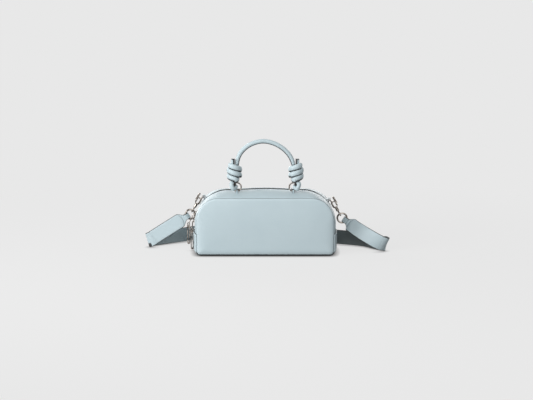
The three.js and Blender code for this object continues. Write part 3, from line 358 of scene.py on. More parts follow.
def smooth_route(route, steps):
    """Points on a smooth curve through the route's points, with as many steps between each two."""
    ends = [route[0] * 2 - route[1], *route, route[-1] * 2 - route[-2]]
    curve = []
    for i in range(steps + 1):
        along = i / steps * (len(route) - 1)
        first = min(int(along), len(route) - 2)
        share = along - first
        p0, p1, p2, p3 = ends[first:first + 4]
        d0, d1, d2 = (max((b - a).length ** 0.5, 1e-4) for a, b in ((p0, p1), (p1, p2), (p2, p3)))
        leave = ((p1 - p0) / d0 - (p2 - p0) / (d0 + d1) + (p2 - p1) / d1) * d1
        arrive = ((p2 - p1) / d1 - (p3 - p1) / (d1 + d2) + (p3 - p2) / d2) * d1
        square = p1 * -3 + p2 * 3 - leave * 2 - arrive
        cube = p1 * 2 - p2 * 2 + leave + arrive
        curve.append(p1 + leave * share + square * share ** 2 + cube * share ** 3)
    return curve


def directions(points):
    """Direction of a line at each of its points."""
    last = len(points) - 1
    return [(points[min(i + 1, last)] - points[max(i - 1, 0)]).normalized() for i in range(last + 1)]


def run_lengths(points):
    """Distance of each point from the first, along the line."""
    lengths = [0.0]
    for a, b in zip(points, points[1:]):
        lengths.append(lengths[-1] + (b - a).length)
    return lengths


def basis(x_way, y_way, z_way, place):
    """Matrix that puts a piece drawn at the origin at its place; the place is in millimetres."""
    rotation = Matrix((x_way, y_way, z_way)).transposed().to_4x4()
    return Matrix.Translation(place * MM) @ rotation


# Modelling by operators

def start_edit():
    bpy.ops.object.mode_set(mode="EDIT")


def end_edit():
    bpy.ops.object.mode_set(mode="OBJECT")


def fresh():
    bpy.ops.object.select_all(action="DESELECT")


def primitive(operator, name, material, **values):
    """A new mesh primitive, named, with its material and with its transform baked in."""
    fresh()
    operator(**values)
    piece = bpy.context.object
    piece.name = name
    piece.data.name = name
    piece.data.materials.append(material)
    return place_piece(piece, Matrix.Identity(4))


def extrude(way):
    bpy.ops.mesh.extrude_region_move(TRANSFORM_OT_translate={"value": Vector(way) * MM})


def smooth_edges(degrees=40):
    """Shade the selected piece smooth, but for edges that turn by more."""
    bpy.ops.object.shade_smooth_by_angle(angle=math.radians(degrees))


def turn_faces_out():
    """Turn all faces of the piece in edit mode outwards, and leave edit mode."""
    bpy.ops.mesh.select_all(action="SELECT")
    bpy.ops.mesh.normals_make_consistent(inside=False)
    end_edit()


def pick(piece, kind, test):
    """Select faces, edges or points of the active piece by a test, in edit mode."""
    start_edit()
    bpy.ops.mesh.select_mode(type=kind)
    form = bmesh.from_edit_mesh(piece.data)
    group = {"FACE": form.faces, "EDGE": form.edges, "VERT": form.verts}[kind]
    for item in [*form.faces, *form.edges, *form.verts]:
        item.select = False
    for item in group:
        item.select = bool(test(item))
    form.select_flush_mode()
    bmesh.update_edit_mesh(piece.data)


def place_piece(piece, matrix):
    """Bake a piece's own transform and its place into its mesh."""
    piece.data.transform(matrix @ piece.matrix_basis)
    piece.matrix_basis = Matrix.Identity(4)
    piece.data.update()
    return piece


def apply_modifier(piece, kind, **values):
    modifier = piece.modifiers.new(kind.lower(), kind)
    for name, value in values.items():
        setattr(modifier, name, value)
    bpy.context.view_layer.objects.active = piece
    bpy.ops.object.modifier_apply(modifier=modifier.name)


def join_pieces(first, *others):
    fresh()
    for piece in (first, *others):
        piece.select_set(True)
    bpy.context.view_layer.objects.active = first
    bpy.ops.object.join()
    return first


def copies_of(model, name, matrices, material):
    """One mesh made of many copies of a small model, which is then removed."""
    points, faces = [], []
    own_points = [v.co.copy() for v in model.data.vertices]
    own_faces = [tuple(f.vertices) for f in model.data.polygons]
    for matrix in matrices:
        start = len(points)
        points += [matrix @ p for p in own_points]
        faces += [tuple(start + k for k in face) for face in own_faces]
    bpy.data.objects.remove(model)
    return new_piece(name, points, faces, material)


# Materials

def feed(tree, source, socket):
    """Link a socket to a node's output, or set its value; a colour is given as three numbers."""
    if hasattr(source, "is_output"):
        tree.links.new(source, socket)
    elif socket.type == "RGBA":
        socket.default_value = (*source, 1)
    else:
        socket.default_value = source


def add_node(tree, kind, sockets, **values):
    """A new shader node with its sockets set or linked."""
    node = tree.nodes.new("ShaderNode" + kind)
    for name, value in values.items():
        setattr(node, name, value)
    for socket, source in sockets.items():
        feed(tree, source, node.inputs[socket])
    return node


def object_place(tree):
    return add_node(tree, "TexCoord", {}).outputs["Object"]


def noise(tree, place, scale, detail, roughness=0.5):
    sockets = {"Vector": place, "Scale": scale, "Detail": detail, "Roughness": roughness}
    return add_node(tree, "TexNoise", sockets)


def calculated(tree, operation, first, second):
    return add_node(tree, "Math", {0: first, 1: second}, operation=operation).outputs[0]


def ranged(tree, source, low, high, from_low=0.25, from_high=0.75):
    """A value carried over from one range to another."""
    limits = {"From Min": from_low, "From Max": from_high, "To Min": low, "To Max": high}
    return add_node(tree, "MapRange", {"Value": source, **limits}).outputs["Result"]


def mixed_colour(tree, factor, first, second):
    node = add_node(tree, "Mix", {}, data_type="RGBA")
    sockets = {(s.name, s.type): s for s in node.inputs}
    feed(tree, factor, sockets["Factor", "VALUE"])
    feed(tree, first, sockets["A", "RGBA"])
    feed(tree, second, sockets["B", "RGBA"])
    return next(s for s in node.outputs if s.type == "RGBA")


def point_value(tree, name):
    """A number that is painted on the points of a piece."""
    return add_node(tree, "Attribute", {}, attribute_name=name).outputs["Fac"]


def leather_grain_group():
    """Fine pebbled grain, slow colour drift and uneven gloss of finished leather."""
    group = bpy.data.node_groups.new("leather_grain", "ShaderNodeTree")
    group.interface.new_socket("Grain", in_out="INPUT", socket_type="NodeSocketFloat")
    for socket in ("Height", "Tone", "Gloss"):
        group.interface.new_socket(socket, in_out="OUTPUT", socket_type="NodeSocketFloat")
    given = group.nodes.new("NodeGroupInput")
    made = group.nodes.new("NodeGroupOutput")
    place = object_place(group)
    waver = noise(group, place, 700.0, 2.0).outputs["Color"]
    shifted = add_node(group, "VectorMath", {0: waver, 1: (0.0006,) * 3}, operation="MULTIPLY").outputs[0]
    bent = add_node(group, "VectorMath", {0: place, 1: shifted}, operation="ADD").outputs[0]
    spread = {"Vector": bent, "Scale": given.outputs["Grain"]}
    cells = add_node(group, "TexVoronoi", spread, feature="SMOOTH_F1")
    pores = noise(group, place, 2600.0, 3.0).outputs["Fac"]
    feed(group, calculated(group, "ADD", cells.outputs["Distance"], pores), made.inputs["Height"])
    feed(group, noise(group, place, 14.0, 4.0, 0.55).outputs["Fac"], made.inputs["Tone"])
    feed(group, noise(group, place, 90.0, 5.0).outputs["Fac"], made.inputs["Gloss"])
    return group


GRAIN = leather_grain_group()


def new_material(name):
    material = bpy.data.materials.new(name)
    material.use_nodes = True
    return material, material.node_tree, material.node_tree.nodes["Principled BSDF"]


def dress(tree, shader, colour, roughness, height, strength, distance):
    """Give a surface its colour, its roughness and its fine relief."""
    bump = add_node(tree, "Bump", {"Height": height, "Strength": strength, "Distance": distance})
    feed(tree, colour, shader.inputs["Base Color"])
    feed(tree, roughness, shader.inputs["Roughness"])
    feed(tree, bump.outputs["Normal"], shader.inputs["Normal"])


def leather_material(name, painted=True, backed=False, grain=1100.0, relief=0.16):
    """Smooth finished leather; the point values edge_paint_and_shade and strap_back_and_shade turn it to
    black edge paint and dark backing, and in places to painted shade.
    """
    material, tree, shader = new_material(name)
    surface = add_node(tree, "Group", {}, node_tree=GRAIN)
    surface.inputs["Grain"].default_value = grain
    tone = ranged(tree, surface.outputs["Tone"], 0.55, 1, 0.3, 0.6)
    colour = mixed_colour(tree, tone, LEATHER_SHADE, LEATHER_BLUE)
    if backed:
        colour = mixed_colour(tree, point_value(tree, "strap_back_and_shade"), colour, STRAP_BACK_AND_SHADE)
    if painted:
        colour = mixed_colour(tree, point_value(tree, "edge_paint_and_shade"), colour, EDGE_PAINT_AND_SHADE)
    gloss = ranged(tree, surface.outputs["Gloss"], 0.36, 0.5)
    dress(tree, shader, colour, gloss, surface.outputs["Height"], relief, 0.0002)
    return material


def metal_material(name, rough):
    """Plated metal with hairline scratches, a little dull in places, with dark and light blotches of painted
    reflection.
    """
    material, tree, shader = new_material(name)
    place = object_place(tree)
    reflection_and_dullness = noise(tree, place, 240.0, 5.0).outputs["Fac"]
    drawn = {"Vector": place, "Scale": (900.0, 5200.0, 2600.0), "Rotation": (0.3, 0.5, 0.7)}
    lines = noise(tree, add_node(tree, "Mapping", drawn).outputs["Vector"], 1.0, 3.0).outputs["Fac"]
    # Painted reflection: blotches of dark and light colour stand in for what the metal reflects.
    colour = mixed_colour(tree, ranged(tree, reflection_and_dullness, 0, 1, 0.38, 0.6), SILVER_DARK_REFLECTION, SILVER)
    dress(tree, shader, colour, ranged(tree, reflection_and_dullness, rough + 0.14, rough), lines, 0.06, 0.0001)
    shader.inputs["Metallic"].default_value = 1
    return material


def woven_material(name, light, dark, thread):
    """Plain weave: two sets of ribs that cross, with uneven threads."""
    material, tree, shader = new_material(name)
    place = object_place(tree)
    ribs = []
    for turn in ((0.6, 0.0, 0.5), (0.0, 0.7, -0.9)):
        turned_place = add_node(tree, "Mapping", {"Vector": place, "Rotation": turn}).outputs["Vector"]
        wave = {"Vector": turned_place, "Scale": thread, "Distortion": 1.2, "Detail": 2.0}
        ribs.append(add_node(tree, "TexWave", wave).outputs["Fac"])
    weave = calculated(tree, "MULTIPLY", *ribs)
    colour = mixed_colour(tree, weave, dark, light)
    dress(tree, shader, colour, ranged(tree, weave, 0.95, 0.8, 0, 1), weave, 0.5, 0.0002)
    return material


def board_material():
    """Pressed fibre board, flecked."""
    material, tree, shader = new_material("fibre_board")
    flecks = noise(tree, object_place(tree), 900.0, 6.0).outputs["Fac"]
    colour = mixed_colour(tree, ranged(tree, flecks, 0, 1), BOARD_DARK, BOARD_BROWN)
    dress(tree, shader, colour, ranged(tree, flecks, 0.95, 0.8), flecks, 0.3, 0.0002)
    return material


def thread_material():
    """Twisted sewing thread in the leather's colour."""
    material, tree, shader = new_material("sewing_thread")
    wave = {"Vector": object_place(tree), "Scale": 900.0, "Distortion": 0.6}
    twist = add_node(tree, "TexWave", wave, bands_direction="DIAGONAL").outputs["Fac"]
    colour = mixed_colour(tree, twist, tuple(c * 0.75 for c in THREAD_BLUE), THREAD_BLUE)
    dress(tree, shader, colour, ranged(tree, twist, 0.75, 0.6, 0, 1), twist, 0.3, 0.0001)
    return material


BODY_LEATHER = leather_material("body_leather", painted=False)
WELT_LEATHER = leather_material("welt_leather")
CORD_LEATHER = leather_material("cord_leather", grain=1300.0, relief=0.06)
STRAP_LEATHER = leather_material("strap_leather", backed=True)
POLISHED = metal_material("polished_metal", 0.2)
ZIP_METAL = metal_material("zip_metal", 0.26)
ZIP_TAPE = woven_material("zip_tape", TAPE_GREY, TAPE_DARK, 420.0)
LINING_CLOTH = woven_material("lining_cloth", LINING_GREY, tuple(c * 0.6 for c in LINING_GREY), 500.0)
BOARD = board_material()
THREAD = thread_material()


# Stage, light and camera

def seen_rays(tree):
    """1 for rays that the camera, a reflection or glass sends, 0 for rays that gather light."""
    path = add_node(tree, "LightPath", {}).outputs
    mirrored = calculated(tree, "MAXIMUM", path["Is Glossy Ray"], path["Is Transmission Ray"])
    return calculated(tree, "MAXIMUM", path["Is Camera Ray"], mirrored)


def mixed_shader(tree, share, first, second):
    return add_node(tree, "MixShader", {0: share, 1: first.outputs[0], 2: second.outputs[0]})


def floor_material():
    """Pale floor that keeps a light shadow; it throws little light back up."""
    material, tree, shader = new_material("pale_floor")
    feed(tree, (FLOOR_GREY,) * 3, shader.inputs["Base Color"])
    shader.inputs["Roughness"].default_value = 1
    shader.inputs["Specular IOR Level"].default_value = 0
    contact = add_node(tree, "AmbientOcclusion", {"Distance": FLOOR_CONTACT}, samples=16).outputs["AO"]
    plain = add_node(tree, "Emission", {"Color": (BACKGROUND,) * 3, "Strength": contact})
    away = add_node(tree, "VectorMath", {0: object_place(tree)}, operation="LENGTH").outputs["Value"]
    shaded = mixed_shader(tree, ranged(tree, away, FLOOR_PLAIN, 1.0, *FLOOR_FADE), shader, plain)
    dull = add_node(tree, "BsdfDiffuse", {"Color": (FLOOR_BOUNCE,) * 3})
    blend = mixed_shader(tree, seen_rays(tree), dull, shaded)
    feed(tree, blend.outputs[0], tree.nodes["Material Output"].inputs["Surface"])
    return material


def build_stage():
    """A wide pale floor under an even sky, with soft boxes round the bag, the strongest at the left."""
    primitive(bpy.ops.mesh.primitive_plane_add, "floor", floor_material(), size=FLOOR_SIZE)

    world = bpy.data.worlds.new("studio")
    bpy.context.scene.world = world
    world.use_nodes = True
    tree = world.node_tree
    sky = tree.nodes["Background"]
    sky.inputs["Color"].default_value = (1, 1, 1, 1)
    sky.inputs["Strength"].default_value = SKY_LIGHT
    seen = add_node(tree, "Background", {"Color": (BACKGROUND,) * 3, "Strength": 1.0})
    blend = mixed_shader(tree, seen_rays(tree), sky, seen)
    feed(tree, blend.outputs[0], tree.nodes["World Output"].inputs["Surface"])

    for name, power, size, place in SOFT_BOXES:
        lamp = bpy.data.lights.new(name, "AREA")
        lamp.energy = power
        lamp.size = size
        holder = bpy.data.objects.new(name, lamp)
        holder.location = place
        holder.rotation_euler = (LIGHT_AIM - Vector(place)).to_track_quat("-Z", "Y").to_euler()
        bpy.context.scene.collection.objects.link(holder)


def build_camera():
    """A long lens in front of the bag, a little above it."""
    lens = bpy.data.cameras.new("camera")
    lens.sensor_width = CAMERA_SENSOR
    lens.lens = CAMERA_SENSOR * CAMERA_DISTANCE / VIEW_WIDTH
    lens.clip_end = 1000
    camera = bpy.data.objects.new("camera", lens)
    tilt = math.radians(CAMERA_ELEVATION)
    camera.location = (AIM + Vector((0, -math.cos(tilt), math.sin(tilt))) * CAMERA_DISTANCE) * MM
    camera.rotation_euler = (math.pi / 2 - tilt, 0, 0)
    bpy.context.scene.collection.objects.link(camera)
    bpy.context.scene.camera = camera


# Shoulder strap

def strap_section(half_width, thickness_at, back_side, back_and_shade):
    """Cross-section of the strap as (across, outwards, edge paint, back), with rounded painted edges; back is
    the share of dark backing with its painted shade.
    """
    section = []
    for side in (1, -1):
        edge = thickness_at(side * half_width) / 2
        flat = half_width - edge
        back = back_and_shade if side == back_side else 0.0
        for i in range(FACE_STEPS):
            across = side * flat * (2 * i / FACE_STEPS - 1)
            section.append((across, side * thickness_at(across) / 2, 0.0, back))
        for i in range(EDGE_STEPS):
            turn = math.radians(90 - 180 * i / EDGE_STEPS)
            across, outwards = side * (flat + edge * math.cos(turn)), side * edge * math.sin(turn)
            tone = back_and_shade if outwards * back_side > 0 else 0.0
            section.append((across, outwards, float(math.cos(turn) > 0.45), tone))
    return section


def ribbon(name, places, widths, halves, thickness=lambda station, across: STRAP, plain=False, back_side=1,
           back_and_shade=lambda station: 1.0, marks=lambda station, across: 0.0, dark_ends=(True, True)):
    """A strap along places; widths are the directions of its width and halves its half widths."""
    rings, paints, backs = [], [], []
    for i, (at, along) in enumerate(zip(places, directions(places))):
        face = along.cross(widths[i]).normalized()
        across = face.cross(along).normalized()
        section = strap_section(halves[i], lambda a: thickness(i, a), back_side, back_and_shade(i))
        end = (i == 0 and dark_ends[0]) or (i == len(places) - 1 and dark_ends[1])
        rings.append([at + across * a + face * f for a, f, _, _ in section])
        paints += [1.0 if end else max(paint, marks(i, a)) for a, _, paint, _ in section]
        backs += [back for _, _, _, back in section]
    piece = loft(name, rings, WELT_LEATHER if plain else STRAP_LEATHER)
    paint_points(piece, "edge_paint_and_shade", paints)
    paint_points(piece, "strap_back_and_shade", backs)
    return piece


def falling_way(side, degrees):
    """Direction away from the bag at one side, so many degrees below level."""
    turn = math.radians(degrees)
    return Vector((side * math.cos(turn), 0, -math.sin(turn)))


def shoulder_point(side, degrees, depth):
    """Point on the bag's shoulder, so many degrees up its round."""
    turn = math.radians(degrees)
    ends = []
    for half_width, top, radius in ((CREST_HALF_WIDTH, CREST_TOP - CREST_DOME, CREST_RADIUS),
                                    (SEAM_HALF_WIDTH, SEAM_TOP, SEAM_RADIUS)):
        x = side * (half_width - radius + radius * math.cos(turn))
        ends.append(Vector((x, depth, top - radius + radius * math.sin(turn))))
    return lerp(*ends, band_fall(depth))


def clip_places(name):
    """Seat of a clip's tab, bar and bow of its D-ring, and middle of its strap ring."""
    side = SIDES[name]
    seat = shoulder_point(side, CLIP_SHOULDER[name], CLIP_Y)
    bar = seat + falling_way(side, -CLIP_SHOULDER[name]) * D_TAB_BORE_HEIGHT
    bow = bar + falling_way(side, D_RING_FALL[name]) * D_RING_REACH
    return seat, bar, bow, bow + falling_way(side, CLIP_FALL[name]) * STRAP_RING_DROP


def arm_route(name, side, ring):
    """Route of an arm from the folded-back end round the ring to the hank: places and width directions."""
    spots = [Vector(spot) for spot in ARM_ROUTES[name]]
    run = spots[0] - ring
    run.y = 0
    run.normalize()
    tab_width = Vector((-run.z * side, 0, run.x * side))
    lean = math.radians(FOLD_LEAN[name])
    fold_width = Vector((side * math.sin(lean), FOLD_TIP[name], math.cos(lean))).normalized()
    places, widths = [], []
    round_ring = ((TAB_RETURN, STRAP / 2 + 0.3), (TAB_RETURN / 2, STRAP + 0.6), (0, TAB_LOOP), (-TAB_LOOP, 0),
                  (0, -TAB_LOOP), (5, -STRAP))
    for along, depth in round_ring:
        places.append(ring + run * (TAB_MIDDLE + along) + Vector((0, depth, 0)))
        widths.append(tab_width)
    for i, spot in enumerate(spots):
        width = tab_width.lerp(fold_width, min(i / FOLD_POINT, 1))
        width = width - FRONT * ARM_LEANS[name] * max(1 - i / FOLD_POINT, 0)
        widths.append(width.lerp(UPRIGHT, min(max((i - FOLD_POINT) / 4, 0), 1)).normalized())
        places.append(spot)
    return places, widths


def lay_strap(piece):
    """Leave a length of strap on the bag's body."""
    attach(piece, "bag")


def build_arm(name, side):
    """One arm: a narrow thin end round the ring, then the full doubled strap from a rounded start."""
    ring = clip_places(name)[-1]
    spots, spot_widths = arm_route(name, side, ring)
    steps = (len(spots) - 1) * ROUTE_STEPS
    places = smooth_route(spots, steps)
    widths = smooth_route(spot_widths, steps)
    run = run_lengths(places)
    start = run[4 * ROUTE_STEPS]  # the route's point just past the ring
    fold_run = run[(len(spots) - len(ARM_ROUTES[name]) + FOLD_POINT) * ROUTE_STEPS]

    def half_at(station):
        widened = smooth_step(start + NECK_START, start + NECK_END, run[station])
        return lerp(STRAP_TAB_HALF, STRAP_WIDTH / 2, widened)

    def past_start(station, across):
        """Distance past the rounded start of the doubled strap."""
        return run[station] - start - DOUBLED_START - DOUBLED_ROUND * (across / (STRAP_WIDTH / 2)) ** 2

    def thickness_at(station, across):
        return lerp(STRAP_NECK, STRAP, smooth_step(0, 1.4, past_start(station, across)))

    def marks_at(station, across):
        """Painted shade along the rounded start, and at the left fold a dark edge that is edge paint with
        painted shade.
        """
        turned_edge_and_shade = side < 0 and across * side > 6 and abs(run[station] - fold_run) < 4
        return max(0.5 * smooth_step(1, 0, abs(past_start(station, across))), float(turned_edge_and_shade))

    def back_and_shade_at(station):
        # Dark backing with painted shade past the neck, darker on the right strap.
        return BACK_TONES_AND_SHADE[name] if run[station] > start + 6 else 0.0

    def stretch(piece_name, first, last):
        """The part of the strap between two stations."""
        picked = range(first, last + 1)
        piece = ribbon(piece_name, [places[i] for i in picked], [widths[i] for i in picked],
                       [half_at(i) for i in picked], lambda i, across: thickness_at(first + i, across),
                       back_side=-side, back_and_shade=lambda i: back_and_shade_at(first + i),
                       marks=lambda i, across: marks_at(first + i, across), dark_ends=(first == 0, False))
        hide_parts("shoulder_strap_" + name)
        return piece

    split = next(i for i in range(steps) if run[i] > fold_run - SPLIT_BEFORE_FOLD)
    arm = stretch("strap_arm_" + name, 0, split)
    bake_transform(arm)
    on_floor = stretch("strap_run_" + name, split, steps)
    lay_strap(on_floor)


def build_hank(tie):
    """The strap's folded middle behind the bag, three runs side by side, held by a tie."""
    steps = 24
    places = []
    for run in range(HANK_RUNS):
        way = -1 if run % 2 == 0 else 1
        depth = HANK_FRONT + HANK_PITCH * run
        for i in range(steps + 1):
            places.append(Vector((way * HANK_HALF_LENGTH * (2 * i / steps - 1), depth, HANK_Z)))
        for i in range(1, steps if run < HANK_RUNS - 1 else 0):
            turn = math.pi * i / steps
            x = way * (HANK_HALF_LENGTH + HANK_PITCH / 2 * math.sin(turn))
            places.append(Vector((x, depth + HANK_PITCH / 2 * (1 - math.cos(turn)), HANK_Z)))
    count = len(places)
    piece = ribbon("strap_hank", places, [UPRIGHT] * count, [STRAP_WIDTH / 2] * count)
    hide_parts("shoulder_strap_hank")
    lay_strap(piece)


def build_tie():
    """A narrow leather band round the hank, with rounded corners."""
    half_depth = STRAP / 2 + TIE_ROOM - TIE_CORNER
    half_height = STRAP_WIDTH / 2 + TIE_ROOM - TIE_CORNER
    front, back = HANK_FRONT - half_depth, HANK_FRONT + HANK_PITCH * (HANK_RUNS - 1) + half_depth
    low, high = HANK_Z - half_height, HANK_Z + half_height
    half, inner, bevel = TIE_HALF_WIDTH, TIE_HALF_WIDTH - 0.4, 0.1
    section = [(half, bevel), (inner, 0), (-inner, 0), (-half, bevel), (-half, TIE - bevel), (-inner, TIE),
               (inner, TIE), (half, TIE - bevel)]
    rings = []
    for k, (depth, height) in enumerate(((back, high), (front, high), (front, low), (back, low))):
        for i in range(7):
            turn = math.radians(90 * k + 15 * i)
            reach = Vector((0, math.cos(turn), math.sin(turn)))
            rings.append([Vector((x, depth, height)) + reach * (TIE_CORNER + h) for x, h in section])
    tie = loft("hank_tie", rings, BODY_LEATHER, closed=True)
    return settle(tie, "bag", "leather", "strap_tie")


# Body

def quarter_round(x, z, radius, steps, way):
    """Quarter of a circle as (x, z) without its last point, from the right up, or down where way is -1."""
    turns = [math.pi / 2 * i / steps for i in range(steps)]
    return [(x + radius * math.cos(turn), z + way * radius * math.sin(turn)) for turn in turns]


def arch_outline(half_width, top, radius, start, dome=0.0, side_steps=12, corner_steps=36, top_steps=40):
    """Outline of the bag's upper half as (x, z), from the left side over the top to the right side."""
    shoulder = top - dome - radius
    flat = half_width - radius
    half = [(half_width, lerp(start, shoulder, i / side_steps)) for i in range(side_steps)]
    half += quarter_round(flat, shoulder, radius, corner_steps, 1)
    for i in range(top_steps):
        share = 1 - i / top_steps
        half.append((flat * share, top - dome * (1 - math.cos(math.pi * share)) / 2))
    return [(-x, z) for x, z in half] + [(0, top)] + half[::-1]


def band_fall(depth):
    """Share of the way from the crest to the panel seam by which the plackets have fallen."""
    return (max(abs(depth) - ZIP_MOUTH, 0) / (BAND_HALF_DEPTH - ZIP_MOUTH)) ** 2


CREST = arch_outline(CREST_HALF_WIDTH, CREST_TOP, CREST_RADIUS, LAP_START, CREST_DOME)
SEAM = arch_outline(SEAM_HALF_WIDTH, SEAM_TOP, SEAM_RADIUS, LAP_START)


def band_point(station, depth):
    """Point on the plackets' smooth outer face."""
    fall = band_fall(depth)
    (x0, z0), (x1, z1) = CREST[station], SEAM[station]
    return Vector((lerp(x0, x1, fall), depth, lerp(z0, z1, fall)))


def band_normal(station, depth):
    """Direction out of the bag on the plackets."""
    before = max(station - 1, 0)
    after = min(station + 1, len(CREST) - 1)
    along = band_point(after, depth) - band_point(before, depth)
    across = band_point(station, depth + 0.5) - band_point(station, depth - 0.5)
    return across.cross(along).normalized() * -1


def rear_dip(station, depth):
    """How far the rear half sinks beside the zip, fading out at the back seam and at both ends."""
    across = smooth_step(4, 8, depth) * smooth_step(40, 18, depth)
    return REAR_DIP * across * smooth_step(38, 62, CREST[station][1])


def band_spot(station, depth, height):
    """Point so far out of the plackets, which sink a little behind the zip."""
    return band_point(station, depth) + band_normal(station, depth) * (height - rear_dip(station, depth))


def placket_section():
    """Section of a zip placket as (depth, height): folded at the zip, turned in at the panel seam."""
    fold = LEATHER / 2
    section = []
    for i in range(9):
        turn = math.pi * i / 8
        section.append((ZIP_MOUTH + fold - fold * math.sin(turn), -fold - fold * math.cos(turn)))
    outer = [(8.2, -0.05), (9, -0.15), (9.5, -0.3), (10, -0.15), (10.8, 0), (13, 0.1), (17, 0.2), (22, 0.24),
             (27, 0.24), (32, 0.2), (36, 0.1), (39, 0), (40.4, -0.12), (41.2, -0.4), (41.8, -0.85),
             (42.1, -1.4), (42.2, -2.1)]
    inner = [(42.0, -2.6), (40, -2.4), (34, -2.2), (26, -2.2), (16, -2.2), (10, -1.95)]
    return section + outer + inner


def build_placket(name, side):
    """One half of the band over the bag, dark at both long edges: edge paint on the fold at the zip, which
    also stands as painted shade of the zip mouth, and painted shade in the groove of the panel seam.
    """
    section = placket_section()
    rings = []
    for station in range(len(CREST)):
        rings.append([band_spot(station, side * depth, height) for depth, height in section])
    piece = loft("placket_" + name, rings, WELT_LEATHER)
    # Edge paint with painted shade at the zip's fold, and painted shade in the groove at the panel seam.
    paint = [max(smooth_step(7.8, 7.4, depth), 0.8 * smooth_step(41, 41.9, depth)) for depth, _ in section]
    paint_points(piece, "edge_paint_and_shade", paint * len(CREST))
    settle(piece, "bag", "leather", "zip_placket_" + name)


def edge_distance(points, outline):
    """Distance of each point (x, z) from a closed outline."""
    spots = np.array(points)
    starts = np.array(outline)
    ways = np.roll(starts, -1, axis=0) - starts
    least = np.full(len(spots), 1e9)
    for start, way in zip(starts, ways):
        share = np.clip(((spots - start) @ way) / max(way @ way, 1e-9), 0, 1)
        least = np.minimum(least, np.linalg.norm(spots - start - share[:, None] * way, axis=1))
    return least


def panel_outline():
    """Closed outline of a panel as (x, z), on the seam line with round lower corners."""
    corner = BASE_RADIUS - 2
    upper = arch_outline(SEAM_HALF_WIDTH, SEAM_TOP, SEAM_RADIUS, PANEL_BOTTOM + corner + 6)
    flat = SEAM_HALF_WIDTH - corner
    low = quarter_round(flat, PANEL_BOTTOM + corner, corner, 12, -1)
    bottom = [(flat * (1 - 2 * i / 40), PANEL_BOTTOM) for i in range(41)]
    return upper + low + bottom + [(-x, z) for x, z in low[::-1]]


def build_panel(name, side):
    """A crowned panel whose edge rolls to the seam, softer at the bottom where it turns under."""
    outline = panel_outline()
    middle = Vector((0, PANEL_MIDDLE))
    shares = [1, 0.9975, 0.994, 0.99, 0.985, 0.978, 0.968, 0.955, 0.935, 0.91, 0.88, 0.84, 0.79, 0.72, 0.63,
              0.52, 0.4, 0.27, 0.14, 0.02]
    flat_rings = [[middle + (Vector(p) - middle) * share for p in outline] for share in shares]
    distances = edge_distance([p for ring in flat_rings for p in ring], outline).reshape(len(shares), -1)

    def depth_at(spot, distance):
        low = smooth_step(20, 3, spot.y)
        aside = smooth_step(72, 40, spot.y)
        rolls = (ROLL_REACH, ROLL_DEPTH)
        reach, depth = (lerp(lerp(top, sides, aside), bottom, low) for top, sides, bottom in rolls)
        roll = depth * math.sqrt(max(0, 1 - (1 - min(distance / reach, 1)) ** 2))
        full = PANEL_CROWN - CROWN_LOSS[0] * aside - CROWN_LOSS[1] * low
        crown = full * (1 - (1 - min(distance / CROWN_REACH, 1)) ** 2)
        wave = PANEL_WAVE * math.sin(spot.x / 31 + 0.6) * math.sin(spot.y / 27 + 1.1) * min(distance / 20, 1)
        return PANEL_RIM + roll + crown + wave

    def paint_at(spot, distance):
        """Painted shade in the groove of the upper seam, and painted contact shadow along the bottom edge at
        the floor.
        """
        # Painted shade at the upper seam; painted contact shadow at the bottom edge.
        seam = 0.8 * smooth_step(0.6, 0.1, distance) * smooth_step(50, 72, spot.y)
        return max(seam, smooth_step(PANEL_BOTTOM + 2.2, PANEL_BOTTOM + 1.4, spot.y))

    rings, paints = [], []
    spots = [list(zip(ring, away)) for ring, away in zip(flat_rings, distances)]
    for ring in spots[::-1]:
        rings.append([Vector((p.x, side * depth_at(p, d), p.y)) for p, d in ring])
        paints += [paint_at(p, d) for p, d in ring]
    for ring in spots[3:]:
        rings.append([Vector((p.x, side * max(depth_at(p, d) - LEATHER, PANEL_RIM), p.y)) for p, d in ring])
        paints += [0.0] * len(ring)
    piece = loft("panel_" + name, rings, WELT_LEATHER)
    paint_points(piece, "edge_paint_and_shade", paints)
    settle(piece, "bag", "leather", name + "_panel")


def cradle_outline(half_width, bottom, steps=12):
    """The gusset's line as (x, z) from its left end down, under the bag and up to its right end."""
    flat, corner = half_width - BASE_RADIUS, bottom + BASE_RADIUS
    line = [(half_width, lerp(GUSSET_TOP, corner, i / steps)) for i in range(steps)]
    line += quarter_round(flat, corner, BASE_RADIUS, steps, -1)
    line += [(flat * (1 - i / steps), bottom) for i in range(steps)]
    return [(-x, z) for x, z in line] + [(0, bottom)] + line[::-1]


def gusset_side(depth):
    """Half width of the bag over the gusset."""
    return lerp(CREST_HALF_WIDTH, SEAM_HALF_WIDTH, band_fall(depth)) + GUSSET_STAND


def gusset_line(depth):
    """Line of the gusset at a depth: its sides follow the plackets, its bottom lifts at the long edges."""
    past_flat = max(abs(depth) - BASE_FLAT, 0) / (BAND_HALF_DEPTH - BASE_FLAT)
    turn = math.asin(past_flat * math.sin(BASE_EDGE_TURN))
    lift = BASE_LIFT * (1 - math.cos(turn)) / (1 - math.cos(BASE_EDGE_TURN))
    return cradle_outline(gusset_side(depth), lift)


